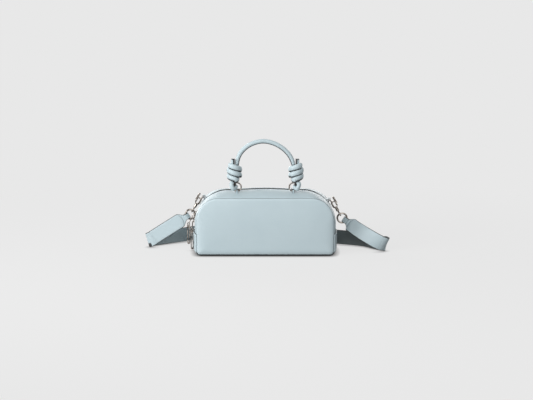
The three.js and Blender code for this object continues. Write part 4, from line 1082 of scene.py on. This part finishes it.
def build_gusset():
    """Bottom and lower sides in one strip; its long edges roll in and its top ends are folded."""
    rolled = ((0, 1.0), (0.3, 0.6), (0.9, 0.3), (1.9, 0.1), (3.3, 0), (5.3, 0))
    half = [(BAND_HALF_DEPTH - inset, sink) for inset, sink in rolled]
    half += [(depth, 0) for depth in (34, 30, 24, 16, 8, 0)]
    rows = [(-depth, sink, gusset_line(-depth)) for depth, sink in half]
    rows += [(depth, sink, gusset_line(depth)) for depth, sink in half[-2::-1]]
    count = len(rows[0][2])
    rings = []
    for k in range(count):
        outer, inner = [], []
        for depth, sink, line in rows:
            (x0, z0), (x1, z1) = line[max(k - 1, 0)], line[min(k + 1, count - 1)]
            out = Vector((z1 - z0, 0, x0 - x1)).normalized()
            spot = Vector((line[k][0], depth, line[k][1]))
            outer.append(spot - out * sink)
            inner.append(spot - out * max(LEATHER, sink + 0.3))
        rings.append(outer + inner[::-1])
    for end in (0, -1):
        fold = rings[end]
        middle = [(fold[i] + fold[-1 - i]) / 2 for i in range(len(rows))]
        middle = middle + middle[::-1]
        rings[end] = [lerp(m, p, 0.45) + UPRIGHT * 0.25 for m, p in zip(middle, fold)]
        lower = [p - UPRIGHT * 0.5 for p in fold]
        rings.insert(1 if end == 0 else len(rings) - 1, lower)
    piece = loft("gusset", rings, WELT_LEATHER)
    paints = []
    for ring in rings:
        for spot in ring:
            # Painted contact shadow along the long edges at the bottom, where the bag meets the floor.
            contact_shadow = smooth_step(39.5, 40.5, abs(spot.y)) * smooth_step(9, 5, spot.z)
            paints.append(max(contact_shadow, float(spot.z > GUSSET_TOP - 0.3)))
    paint_points(piece, "edge_paint_and_shade", paints)
    settle(piece, "bag", "leather", "base_gusset")


def build_lining():
    """Cloth cup inside the bag, a little slack between its corners."""
    count = 96

    def ring_at(height, inset, slack):
        ring = []
        for k in range(count):
            turn = 2 * math.pi * k / count
            cosine, sine = math.cos(turn), math.sin(turn)
            x = (LINING_HALF_WIDTH - inset) * math.copysign(abs(cosine) ** 0.22, cosine)
            y = (LINING_HALF_DEPTH - inset) * math.copysign(abs(sine) ** 0.34, sine)
            pull = slack * (0.5 + 0.5 * math.sin(9 * turn + height / 9))
            across, along = 1 - pull / LINING_HALF_WIDTH, 1 - pull / LINING_HALF_DEPTH
            ring.append(Vector((x * across, y * along, height)))
        return ring

    outside = [(LINING_FLOOR, 9, 0), (4.3, 4, 0), (6.5, 1, 0), (12, 0.2, 0.4), (28, 0.2, 1), (48, 0.2, 1),
               (62, 3.5, 0.8), (74, 10, 0.5), (82, 16, 0.3), (84, 18, 0.2)]
    inside = [(max(h, LINING_FLOOR + LINING), inset + LINING, slack) for h, inset, slack in outside[::-1]]
    rings = [ring_at(*level) for level in outside + inside]
    settle(loft("lining_cup", rings, LINING_CLOTH), "bag", "lining", "lining")


# Handle: one leather-covered cord with a knot at each end, drawn as the source draws it but finer

def around(degrees, radius, z):
    """Point round a knot's axis."""
    turn = math.radians(degrees)
    return Vector((radius * math.cos(turn), -radius * math.sin(turn), z))


def away_from_axis(at):
    return Vector((at.x, at.y, 0)).normalized()


def cord_station(at, face, thick, wide, seam, seam_width=0.2):
    """One place on the cord: its section's half sizes, and the side on which the dark seam and, inside the
    knots, painted shade show.
    """
    return {"at": at, "face": face, "thick": thick, "wide": wide, "seam": seam, "seam_width": seam_width}


def core_strand(foot, start, end, steps, seam=None, seam_width=0.2):
    """A stretch of cord that runs twisted inside a knot."""
    stations = []
    for i in range(steps + 1):
        z = lerp(start, end, i / steps)
        share = min(max(z / KNOT_HEIGHT, 0), 1)
        at = around(foot + CORE_TWIST * share, CORE_RADIUS, z)
        face = away_from_axis(at)
        stations.append(cord_station(at, face, CORE_STRAND, CORE_STRAND, seam or -face, seam_width))
    return stations


def winding():
    """The wraps round a knot, from its top down."""
    stations = []
    steps = WRAP_TURN // 5
    for i in range(steps + 1):
        degrees = WRAP_TURN * i / steps
        at = around(WRAP_START - degrees, WRAP_RADIUS, KNOT_HEIGHT - WRAP_PITCH * degrees / 360)
        at.z -= WRAP_TILT * at.x
        under = 0.6 if degrees > WRAP_TURN - 320 else 0.29  # the dark seam runs under each wrap, widened on the lowest wrap as painted shade
        stations.append(cord_station(at, away_from_axis(at), WRAP_HALF_THICKNESS, WRAP_HALF_HEIGHT,
                                     away_from_axis(at) * 0.3 - UPRIGHT, under))
    return stations


def passage(before, after, reach=5.5, steps=18):
    """Smooth passage between the ends of two stretches of cord."""
    first, last = before[-1], after[0]
    leave = first["at"] + (first["at"] - before[-2]["at"]).normalized() * reach
    arrive = last["at"] - (after[1]["at"] - last["at"]).normalized() * reach
    stations = []
    for i in range(1, steps):
        t = i / steps
        at = (first["at"] * (1 - t) ** 3 + leave * (3 * t * (1 - t) ** 2) + arrive * (3 * t * t * (1 - t))
              + last["at"] * t ** 3)
        seam = first["seam"].lerp(last["seam"], t)
        stations.append(cord_station(at, away_from_axis(at), lerp(first["thick"], last["thick"], t),
                                     lerp(first["wide"], last["wide"], t), seam))
    return stations


def ring_loop(first, last):
    """The loop that passes through the handle ring."""
    hole_x = KNOT_X - HANDLE_RING_X - 1
    hole_z = HANDLE_RING_Z - KNOT_BOTTOM
    route = [
        first["at"],
        Vector((-3, LOOP_HALF_DEPTH - 0.8, hole_z / 2)),
        Vector((hole_x - 2, LOOP_HALF_DEPTH - 1.6, hole_z + 0.8)),
        Vector((hole_x - 0.4, 0, hole_z + 0.4)),
        Vector((hole_x - 5, -LOOP_HALF_DEPTH, hole_z - 2.2)),
        Vector((-4.8, -LOOP_HALF_DEPTH, hole_z * 0.66)),
        Vector((-3.6, 1.4 - LOOP_HALF_DEPTH, hole_z * 0.4)),
        last["at"],
    ]
    middle = Vector((-1, 0, hole_z / 3))
    stations = []
    for at in smooth_route(route, 70)[1:-1]:
        face = (at - middle).normalized()
        # Painted shade: the loop's back half is dark on its front side, where the inside of the knot is
        # shaded.
        dark = smooth_step(-2, 3, at.y)
        fuller = CORE_STRAND + 0.5 * smooth_step(-3, -6, at.y)
        seam = (-face).lerp(FRONT, dark)
        stations.append(cord_station(at, face, CORE_STRAND, fuller, seam, lerp(0.25, 1, dark)))
    return stations


def knot_stations():
    """The cord of one knot, followed from the grip down to the cut end."""
    foot, turn_room = -3, 5
    # The standing and rising strands are dark on their front side as painted shade inside the knot.
    standing = core_strand(STANDING_FOOT, KNOT_HEIGHT + LEG_RISE, foot, 30, FRONT, 1)
    rising = core_strand(RISING_FOOT, foot, KNOT_HEIGHT - turn_room, 24, FRONT, 1)
    wraps = winding()
    tail = core_strand(TAIL_FOOT, turn_room, KNOT_HEIGHT + TAIL_RISE, 40, Vector((1, -0.5, 0)), 0.9)
    for station in tail[-2:]:
        station["seam_width"] = 4
    return [*standing, *ring_loop(standing[-1], rising[0]), *rising, *passage(rising, wraps), *wraps,
            *passage(wraps, tail), *tail]


def place_knot(stations, side):
    """A knot in its place at one side of the handle."""
    placed = []
    for station in stations:
        mirrored = dict(station)
        for part in ("at", "face", "seam"):
            mirrored[part] = Vector((-side * station[part].x, *station[part].yz))
        mirrored["at"] += Vector((side * KNOT_X, RING_Y, KNOT_BOTTOM))
        placed.append(mirrored)
    return placed


def grip_stations():
    """The grip's arch from the left knot to the right one."""
    leg_z = KNOT_BOTTOM + KNOT_HEIGHT + LEG_RISE
    half_span = KNOT_X - CORE_RADIUS
    steps = 120
    power = 2 / GRIP_SQUARENESS
    middle = Vector((0, RING_Y, leg_z))
    stations = []
    for i in range(1, steps):
        turn = math.pi * i / steps
        x = -math.copysign(half_span * abs(math.cos(turn)) ** power, math.cos(turn))
        at = Vector((x + GRIP_LEAN * math.sin(turn), RING_Y, leg_z + GRIP_RISE * math.sin(turn) ** power))
        radius = lerp(CORE_STRAND, GRIP_STRAND, min(1, 4 * math.sin(turn)))
        inward = (middle - at).normalized()
        stations.append(cord_station(at, inward, radius, radius, inward + FRONT * 0.45, 0.16))
    return stations


def build_handle():
    """The whole cord, with the dark seam of its cover and the painted shade inside the knots painted on."""
    knot = knot_stations()
    stations = [*place_knot(knot, -1)[::-1], *grip_stations(), *place_knot(knot, 1)]
    places = [station["at"] for station in stations]
    rings, paints = [], []
    last = len(stations) - 1
    for i, (station, along) in enumerate(zip(stations, directions(places))):
        across = along.cross(station["face"]).normalized()
        face = across.cross(along).normalized()
        seam = station["seam"] - along * station["seam"].dot(along)
        seam = seam.normalized() if seam.length > 1e-6 else face
        ring = []
        for k in range(CORD_SIDES):
            turn = 2 * math.pi * k / CORD_SIDES
            way = face * math.cos(turn) + across * math.sin(turn)
            seam_width = station["seam_width"]
            on_seam = smooth_step(1 - seam_width, 1 - seam_width * 0.3, way.dot(seam))
            offset = face * station["thick"] * math.cos(turn) + across * station["wide"] * math.sin(turn)
            ridge = SEAM_RIDGE * on_seam if seam_width < 0.3 else 0
            ring.append(station["at"] + offset + way * ridge)
            paints.append(1.0 if i in (0, last) else on_seam)
        rings.append(ring)
    piece = loft("handle_cord", rings, CORD_LEATHER)
    paint_points(piece, "edge_paint_and_shade", paints)
    settle(piece, "handle", "leather", "handle")


# Wire, turned and cut metal

def wire_path(name, wire, start, turn_axis, moves, closed, material):
    """Round wire, first upwards; a move is a straight way and the middle of the turn after it, or None."""
    piece = primitive(bpy.ops.mesh.primitive_circle_add, name, material, vertices=16, radius=wire / 2 * MM,
                      location=start * MM)
    start_edit()
    bpy.ops.mesh.select_all(action="SELECT")
    if not closed:
        bpy.ops.mesh.edge_face_add()
    for way, middle in moves:
        extrude(way)
        if middle:
            bpy.ops.mesh.spin(steps=9, angle=math.pi / 2, center=Vector(middle) * MM, axis=turn_axis)
    bpy.ops.mesh.select_all(action="SELECT")
    bpy.ops.mesh.remove_doubles(threshold=0.02 * MM)
    turn_faces_out()
    smooth_edges()
    return piece


def wire_loop(name, half_width, length, corner, wire, material):
    """A closed loop with round corners, from z 0 down to -length, its width along Y."""
    side = half_width - corner
    straight = length - 2 * corner
    moves = [
        ((0, 0, straight / 2), (0, side, -corner)),
        ((0, -2 * side, 0), (0, -side, -corner)),
        ((0, 0, -straight), (0, -side, corner - length)),
        ((0, 2 * side, 0), (0, side, corner - length)),
        ((0, 0, straight / 2), None),
    ]
    return wire_path(name, wire, Vector((0, half_width, -length / 2)), X_WAY, moves, True, material)


def wire_ring(name, radius, wire, material):
    """A round ring in the XZ plane, bent from wire, its butt joint a shallow groove at the top."""
    ring = primitive(bpy.ops.mesh.primitive_torus_add, name, material, major_radius=radius * MM,
                     minor_radius=wire / 2 * MM, major_segments=96, minor_segments=20,
                     rotation=(math.pi / 2, math.pi / 2, 0))
    pick(ring, "VERT", lambda v: v.co.z > 0 and abs(v.co.x) < 1e-6)
    bpy.ops.transform.shrink_fatten(value=-0.2 * MM)
    end_edit()
    ring.data.shade_smooth()
    return ring


def turned(name, profile, material):
    """A piece turned on a lathe about Z; the profile is (height, radius) from one end to the other."""
    foot, radius = profile[0]
    piece = primitive(bpy.ops.mesh.primitive_circle_add, name, material, vertices=32, radius=radius * MM,
                      fill_type="NGON", location=(0, 0, foot * MM))
    start_edit()
    bpy.ops.mesh.select_all(action="SELECT")
    for (low, before), (high, after) in zip(profile, profile[1:]):
        extrude((0, 0, high - low))
        bpy.ops.transform.resize(value=(after / before, after / before, 1))
    turn_faces_out()
    smooth_edges(35)
    return piece


def block(name, low, high, bevel, material, segments=3):
    """A block between two corners with all its edges rounded."""
    low, high = Vector(low), Vector(high)
    middle = (low + high) / 2
    piece = primitive(bpy.ops.mesh.primitive_cube_add, name, material, size=1, location=middle * MM,
                      scale=(high - low) * MM)
    apply_modifier(piece, "BEVEL", width=bevel * MM, segments=segments, limit_method="NONE")
    smooth_edges()
    return piece


def slot_plate(name, radius, low, high, thickness, material):
    """A plate in the XZ plane with round ends about the heights low and high, its faces along Y."""
    piece = primitive(bpy.ops.mesh.primitive_circle_add, name, material, vertices=48, radius=radius * MM,
                      fill_type="NGON", rotation=(math.pi / 2, 0, 0),
                      location=(0, -thickness / 2 * MM, high * MM))
    pick(piece, "VERT", lambda v: v.co.z < high * MM - 1e-7)
    bpy.ops.transform.translate(value=(0, 0, (low - high) * MM))
    bpy.ops.mesh.select_all(action="SELECT")
    extrude((0, thickness, 0))
    turn_faces_out()
    return piece


def cut_away(piece, *tools):
    """Cut tools out of a piece and remove them."""
    for tool in tools:
        apply_modifier(piece, "BOOLEAN", object=tool, operation="DIFFERENCE", solver="EXACT")
        bpy.data.objects.remove(tool)


def round_edges(piece, width, angle=35):
    """Round all edges that turn by more than an angle."""
    limit = math.radians(angle)
    apply_modifier(piece, "BEVEL", width=width * MM, segments=3, limit_method="ANGLE", angle_limit=limit)
    fresh()
    piece.select_set(True)
    bpy.context.view_layer.objects.active = piece
    smooth_edges()


# Tabs of folded leather that hold the rings on the plackets

def leather_tab(name, width, feet, bore, bore_height, bend, matrix, tone, lowered=0.0):
    """A strip folded over a wire along local X, its front and rear feet sewn flat on the placket along Y."""
    radius = bore + TAB_LEATHER / 2
    low = TAB_GAP + TAB_LEATHER / 2 - lowered
    route = [Vector((0, -feet[0], low)), Vector((0, -radius - TAB_LEATHER, low))]
    for degrees in (215, 180, 140, 90, 40, 0, -35):
        turn = math.radians(degrees)
        route.append(Vector((0, radius * math.cos(turn), bore_height + radius * math.sin(turn))))
    route += [Vector((0, radius + TAB_LEATHER, low)), Vector((0, feet[1], low))]
    local = smooth_route(route, (len(route) - 1) * 8)
    for spot in local:
        spot.z -= spot.y ** 2 / (2 * bend)
    places = [(matrix @ (spot * MM)) / MM for spot in local]
    across = matrix.to_3x3() @ X_WAY
    count = len(places)
    # The tone darkens the whole tab a little as painted shade.
    return ribbon(name, places, [across] * count, [width / 2] * count, lambda i, a: TAB_LEATHER, plain=True,
                  marks=lambda i, a: tone)


def build_handle_ring(name, side):
    """A handle ring and the tab that holds it on the front placket."""
    spot = Vector((side * HANDLE_RING_X, RING_Y, HANDLE_RING_Z))
    ring = wire_ring("ring_" + name, HANDLE_RING_RADIUS, HANDLE_RING_WIRE, POLISHED)
    place_piece(ring, Matrix.Translation(spot * MM))
    settle(ring, "ring_" + name, "metal", "handle_ring_" + name)
    level = Vector((0, math.cos(RING_TAB_LEAN), math.sin(RING_TAB_LEAN)))
    seat = basis(X_WAY, level, X_WAY.cross(level), Vector((side * HANDLE_RING_X, RING_TAB_Y, RING_TAB_Z)))
    tab = leather_tab("ring_tab_" + name, RING_TAB_WIDTH, RING_TAB_FEET, RING_TAB_BORE, RING_TAB_BORE_HEIGHT,
                      RING_TAB_BEND, seat, RING_TAB_SHADE)
    settle(tab, "bag", "leather", "handle_ring_tab_" + name)


# Shoulder clips

def build_hook(name):
    """Snap hook: a jaw with a mouth on one side, on a turned barrel."""
    jaw = slot_plate("hook_" + name, HOOK_HALF_WIDTH, JAW_BOTTOM, JAW_TOP, HOOK_THICKNESS, POLISHED)
    through = 4 * HOOK_THICKNESS
    opening = slot_plate("opening", HOOK_OPENING, JAW_BOTTOM - 0.4, JAW_TOP + 0.6, through, POLISHED)
    low, high = ((x, y, z) for (x, z), y in ((MOUTH_LOW, -HOOK_THICKNESS), (MOUTH_HIGH, HOOK_THICKNESS)))
    cut_away(jaw, opening, block("mouth", low, high, 0.1, POLISHED))
    round_edges(jaw, 0.75)
    groove = BARREL_RADIUS - 0.4
    barrel = turned("barrel", [(HOOK_FOOT + 0.8, 1.9), (HOOK_FOOT + 0.3, groove), (HOOK_FOOT - 0.4, groove),
                               (HOOK_FOOT - 0.7, BARREL_RADIUS), (HOOK_FOOT - 1.5, BARREL_RADIUS),
                               (HOOK_FOOT - 1.8, groove), (HOOK_FOOT - 2.3, groove),
                               (HOOK_FOOT - 2.6, BARREL_RADIUS), (BARREL_FOOT + 1.2, BARREL_RADIUS),
                               (BARREL_FOOT + 0.4, 2.4), (BARREL_FOOT, 1.9)], POLISHED)
    return join_pieces(jaw, barrel)


def build_gate(name):
    """The gate that closes the mouth, with its thumb lever."""
    bar = block("gate_" + name, GATE_LOW, GATE_HIGH, 0.5, POLISHED)
    lever = primitive(bpy.ops.mesh.primitive_cube_add, "lever", POLISHED, size=1,
                      scale=(MM, LEVER_DEPTH * MM, MM))
    for vertex in lever.data.vertices:
        x, z = LEVER_CORNERS[int(math.copysign(1, vertex.co.x)), int(math.copysign(1, vertex.co.z))]
        vertex.co.x, vertex.co.z = x * MM, z * MM
    pick(lever, "FACE", lambda f: f.calc_center_median().z > 5 * MM)
    bpy.ops.transform.resize(value=(1, 1.35, 1))
    turn_faces_out()
    round_edges(lever, 0.4, 20)
    return join_pieces(bar, lever)


def build_swivel(name):
    """The eye under the hook, on its pin."""
    eye = wire_ring("swivel_" + name, EYE_RADIUS, EYE_WIRE, POLISHED)
    place_piece(eye, Matrix.Translation((0, 0, EYE_MIDDLE * MM)) @ Matrix.Rotation(math.pi / 2, 4, "Z"))
    pin = turned("pin", [(EYE_MIDDLE + 3.0, 1.0), (EYE_MIDDLE + 3.8, 1.5), (EYE_MIDDLE + 4.3, 1.5),
                         (EYE_MIDDLE + 4.7, 1.2), (BARREL_FOOT + 0.2, 1.2)], POLISHED)
    return join_pieces(eye, pin)


def build_clip(name, side):
    """A D-ring in its tab, with the hook, the swivel and the strap ring that hang from it."""
    seat, bar, bow, strap_ring = clip_places(name)
    gate_way = falling_way(side, CLIP_FALL[name] - 90)
    back = -falling_way(side, CLIP_FALL[name])
    place = basis(gate_way, back.cross(gate_way), back, bow)
    settle(place_piece(build_hook(name), place), "hook_" + name, "metal", "hook_" + name)
    settle(place_piece(build_gate(name), place), "gate_" + name, "metal", "hook_gate_" + name)
    settle(place_piece(build_swivel(name), place), "clip_" + name, "metal", "hook_swivel_" + name)
    ring = wire_ring("strap_ring_bent_" + name, STRAP_RING_RADIUS, STRAP_RING_WIRE, POLISHED)
    place_piece(ring, Matrix.Translation(strap_ring * MM))
    settle(ring, "clip_" + name, "metal", "strap_ring_" + name)
    d_ring = wire_loop("d_ring_bent_" + name, D_RING_HALF_LENGTH, D_RING_REACH, D_RING_CORNER, D_RING_WIRE,
                       POLISHED)
    up = -falling_way(side, D_RING_FALL[name])
    place_piece(d_ring, basis(Y_WAY.cross(up), Y_WAY, up, bar))
    settle(d_ring, "clip_" + name, "metal", "d_ring_" + name)
    out = falling_way(side, -CLIP_SHOULDER[name])
    tab = leather_tab("clip_tab_" + name, D_TAB_WIDTH, D_TAB_FEET, D_TAB_BORE, D_TAB_BORE_HEIGHT,
                      CREST_RADIUS, basis(Y_WAY, out.cross(Y_WAY), out, seat), D_TAB_SHADE, D_TAB_LOWERED)
    settle(tab, "bag", "leather", "d_ring_tab_" + name)


# Zip

def spaced(points, pitch, start):
    """Places at even distances along a line, with the direction there and the number of the point before."""
    lengths = run_lengths(points)
    spots = []
    wanted, k = start, 0
    while wanted <= lengths[-1]:
        while lengths[k + 1] < wanted:
            k += 1
        a, b = points[k], points[k + 1]
        share = (wanted - lengths[k]) / (lengths[k + 1] - lengths[k])
        spots.append((lerp(a, b, share), (b - a).normalized(), k))
        wanted += pitch
    return spots


def build_tape(name, side):
    """Woven tape: a thin strip under the placket, with a thicker corded edge at the teeth."""
    section = [(3.5, -2.2), (3.7, -1.9), (4.3, -1.9), (4.6, -2.1), (9, -2.1), (14, -2.1),
               (14, -2.7), (9, -2.7), (4.6, -2.7), (3.7, -2.8), (3.5, -2.6)]
    rings = [[band_spot(k, side * depth, height) for depth, height in section] for k in range(len(CREST))]
    settle(loft("tape_" + name, rings, ZIP_TAPE), "bag", "zip_tape", "zip_tape_" + name)


def build_teeth(name, side):
    """One row of metal teeth: a tooth is modelled once and copied along the crest."""
    tooth = block("tooth", (-TOOTH_HALF_LENGTH, TEETH_INNER, -TEETH_HEIGHT / 2),
                  (TOOTH_HALF_LENGTH, TEETH_EDGE, TEETH_HEIGHT / 2), 0.28, ZIP_METAL, segments=1)
    pick(tooth, "FACE", lambda f: f.normal.y < -0.9)
    bpy.ops.transform.resize(value=(0.7, 1, 0.6))
    end_edit()
    line = [band_point(k, 0) for k in range(len(CREST))]
    matrices = []
    first = TEETH_START + (TOOTH_PITCH / 2 if side > 0 else 0)
    for spot, along, _ in spaced(line, TOOTH_PITCH, first):
        out = along.cross(Y_WAY)
        middle = spot + out * (TEETH_TOP - TEETH_HEIGHT / 2)
        if middle.z > TEETH_FOOT:
            depth_way = Y_WAY * side
            matrices.append(basis(depth_way.cross(out), depth_way, out, middle))
    row = copies_of(tooth, "teeth_" + name, matrices, ZIP_METAL)
    settle(row, "bag", "zip_metal", "zip_teeth_" + name)


def build_stop(name, side):
    """A metal stop over one end of the zip."""
    low, high = ((side * x, y, z) for x, y, z in (STOP_LOW, STOP_HIGH))
    stop = block("stop_" + name, low, high, 0.5, ZIP_METAL)
    settle(stop, "bag", "zip_metal", "zip_stop_" + name)


def build_slider(name, spot, along, out):
    """Slider: two waisted plates on a wedge, with a bail for the pull."""
    half = SLIDER_LENGTH / 2
    plates = []
    for low, high in SLIDER_PLATES:
        plate = block("slider_" + name, (-half, -SLIDER_HALF_WIDTH, low), (half, SLIDER_HALF_WIDTH, high),
                      0.45, ZIP_METAL)
        pick(plate, "VERT", lambda v: v.co.x > (half - 0.9) * MM)
        bpy.ops.transform.resize(value=(1, 0.8, 1))
        end_edit()
        plates.append(plate)
    wedge = block("wedge", (0.5 - half, -0.2, -4.6), (half - 0.5, 0.2, -0.9), 0.05, ZIP_METAL)
    rise, straight = BAIL_RISE, BAIL_STRAIGHT
    moves = [
        ((0, 0, rise), (-straight, 0, rise)),
        ((2 * straight, 0, 0), (straight, 0, rise)),
        ((0, 0, -rise), None),
    ]
    bail = wire_path("bail", BAIL_WIRE, X_WAY * -BAIL_HALF_LENGTH, Y_WAY, moves, False, ZIP_METAL)
    slider = join_pieces(*plates, wedge, bail)
    place_piece(slider, basis(along, Y_WAY, out, spot))
    settle(slider, "slider_" + name, "zip_metal", "zip_slider_" + name)


def build_pull(name, spot, drop_x):
    """A wire link and a slotted drop that hang from a slider's bail."""
    length = LINK_LENGTHS[name]
    lean = math.asin((spot.x - drop_x) / length)
    corner = LINK_HALF_WIDTH - LINK_WIRE
    link = wire_loop("link_" + name, LINK_HALF_WIDTH, length, corner, LINK_WIRE, ZIP_METAL)
    up = Vector((math.sin(lean), 0, math.cos(lean)))
    place_piece(link, basis(Y_WAY.cross(up), Y_WAY, up, spot))
    settle(link, "link_" + name, "zip_metal", "pull_link_" + name)
    foot = DROP_WIDTH / 2 - DROP_LENGTH
    drop = slot_plate("drop_" + name, DROP_WIDTH / 2, foot, 0, DROP_THICKNESS, ZIP_METAL)
    eye = slot_plate("eye", DROP_EYE, 0, 0, 4 * DROP_THICKNESS, ZIP_METAL)
    slot = slot_plate("slot", DROP_WIDTH / 6, foot + DROP_RIM, DROP_SLOT_TOP, 4 * DROP_THICKNESS, ZIP_METAL)
    cut_away(drop, eye, slot)
    round_edges(drop, 0.45)
    place_piece(drop, Matrix.Translation((spot - up * length) * MM))
    settle(drop, "drop_" + name, "zip_metal", "pull_drop_" + name)


def build_pulls():
    """Both sliders on the left shoulder, one above the other, with pulls that hang side by side."""
    step = math.degrees(2 * math.atan((SLIDER_LENGTH + SLIDER_APART) / 2 / (CREST_RADIUS - SLIDER_DEPTH)))
    drop_x = -CREST_HALF_WIDTH - GUSSET_STAND - PULL_CLEARANCE - DROP_WIDTH / 2
    for i, name in enumerate(LINK_LENGTHS):
        angle = LOWER_SLIDER_ANGLE + step * i
        spot = shoulder_point(-1, angle, 0)
        out = falling_way(-1, -angle)
        build_slider(name, spot, Y_WAY.cross(out), out)
        build_pull(name, spot + out * BAIL_SEAT, drop_x - (PULL_CLEARANCE + DROP_WIDTH) * i)


# Stitches

def stitch_model():
    """One stitch: a short thread that dips at both ends."""
    stitch = primitive(bpy.ops.mesh.primitive_uv_sphere_add, "stitch", THREAD, segments=8, ring_count=6,
                       radius=1, rotation=(0, math.pi / 2, 0))
    pick(stitch, "VERT", lambda v: abs(v.co.x) > 0.75)
    bpy.ops.transform.translate(value=(0, 0, -0.9))
    end_edit()
    return place_piece(stitch, Matrix.Diagonal((*(size * MM for size in STITCH_HALF_SIZES), 1)))


def stitch_row(name, line, normal_at):
    """Stitches along a line on the bag; normal_at gives the way out of the leather."""
    matrices = []
    for spot, along, k in spaced(line, STITCH_PITCH, STITCH_PITCH / 2):
        out = normal_at(k)
        out = (out - along * out.dot(along)).normalized()
        matrices.append(basis(along, out.cross(along), out, spot + out * 0.1))
    settle(copies_of(stitch_model(), name, matrices, THREAD), "bag", "leather")


def build_stitches():
    """Rows beside the zip and along the gusset's upper ends."""
    for name, side in HALVES.items():
        depth = side * STITCH_DEPTH
        line = [band_spot(k, depth, -0.3) for k in range(len(CREST))]
        stitch_row("zip_stitches_" + name, line, lambda k: band_normal(k, depth))
    for name, side in SIDES.items():
        height = GUSSET_TOP - STITCH_DROP
        line = [Vector((side * gusset_side(depth), depth, height)) for depth in range(-39, 40)]
        stitch_row("end_stitches_" + name, line, lambda k: X_WAY * side)


build_stage()
build_camera()
bpy.context.scene.view_settings.view_transform = "Standard"
for name, side in SIDES.items():
    build_arm(name, side)
build_hank(build_tie())
for name, side in HALVES.items():
    build_placket(name, side)
    build_panel(name, side)
build_gusset()
build_lining()
build_handle()
for name, side in SIDES.items():
    build_handle_ring(name, side)
for name, side in SIDES.items():
    build_clip(name, side)
for name, side in HALVES.items():
    build_tape(name, side)
    build_teeth(name, side)
for name, side in SIDES.items():
    build_stop(name, side)
build_pulls()
build_stitches()
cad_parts["base_board"].data.materials[0] = BOARD
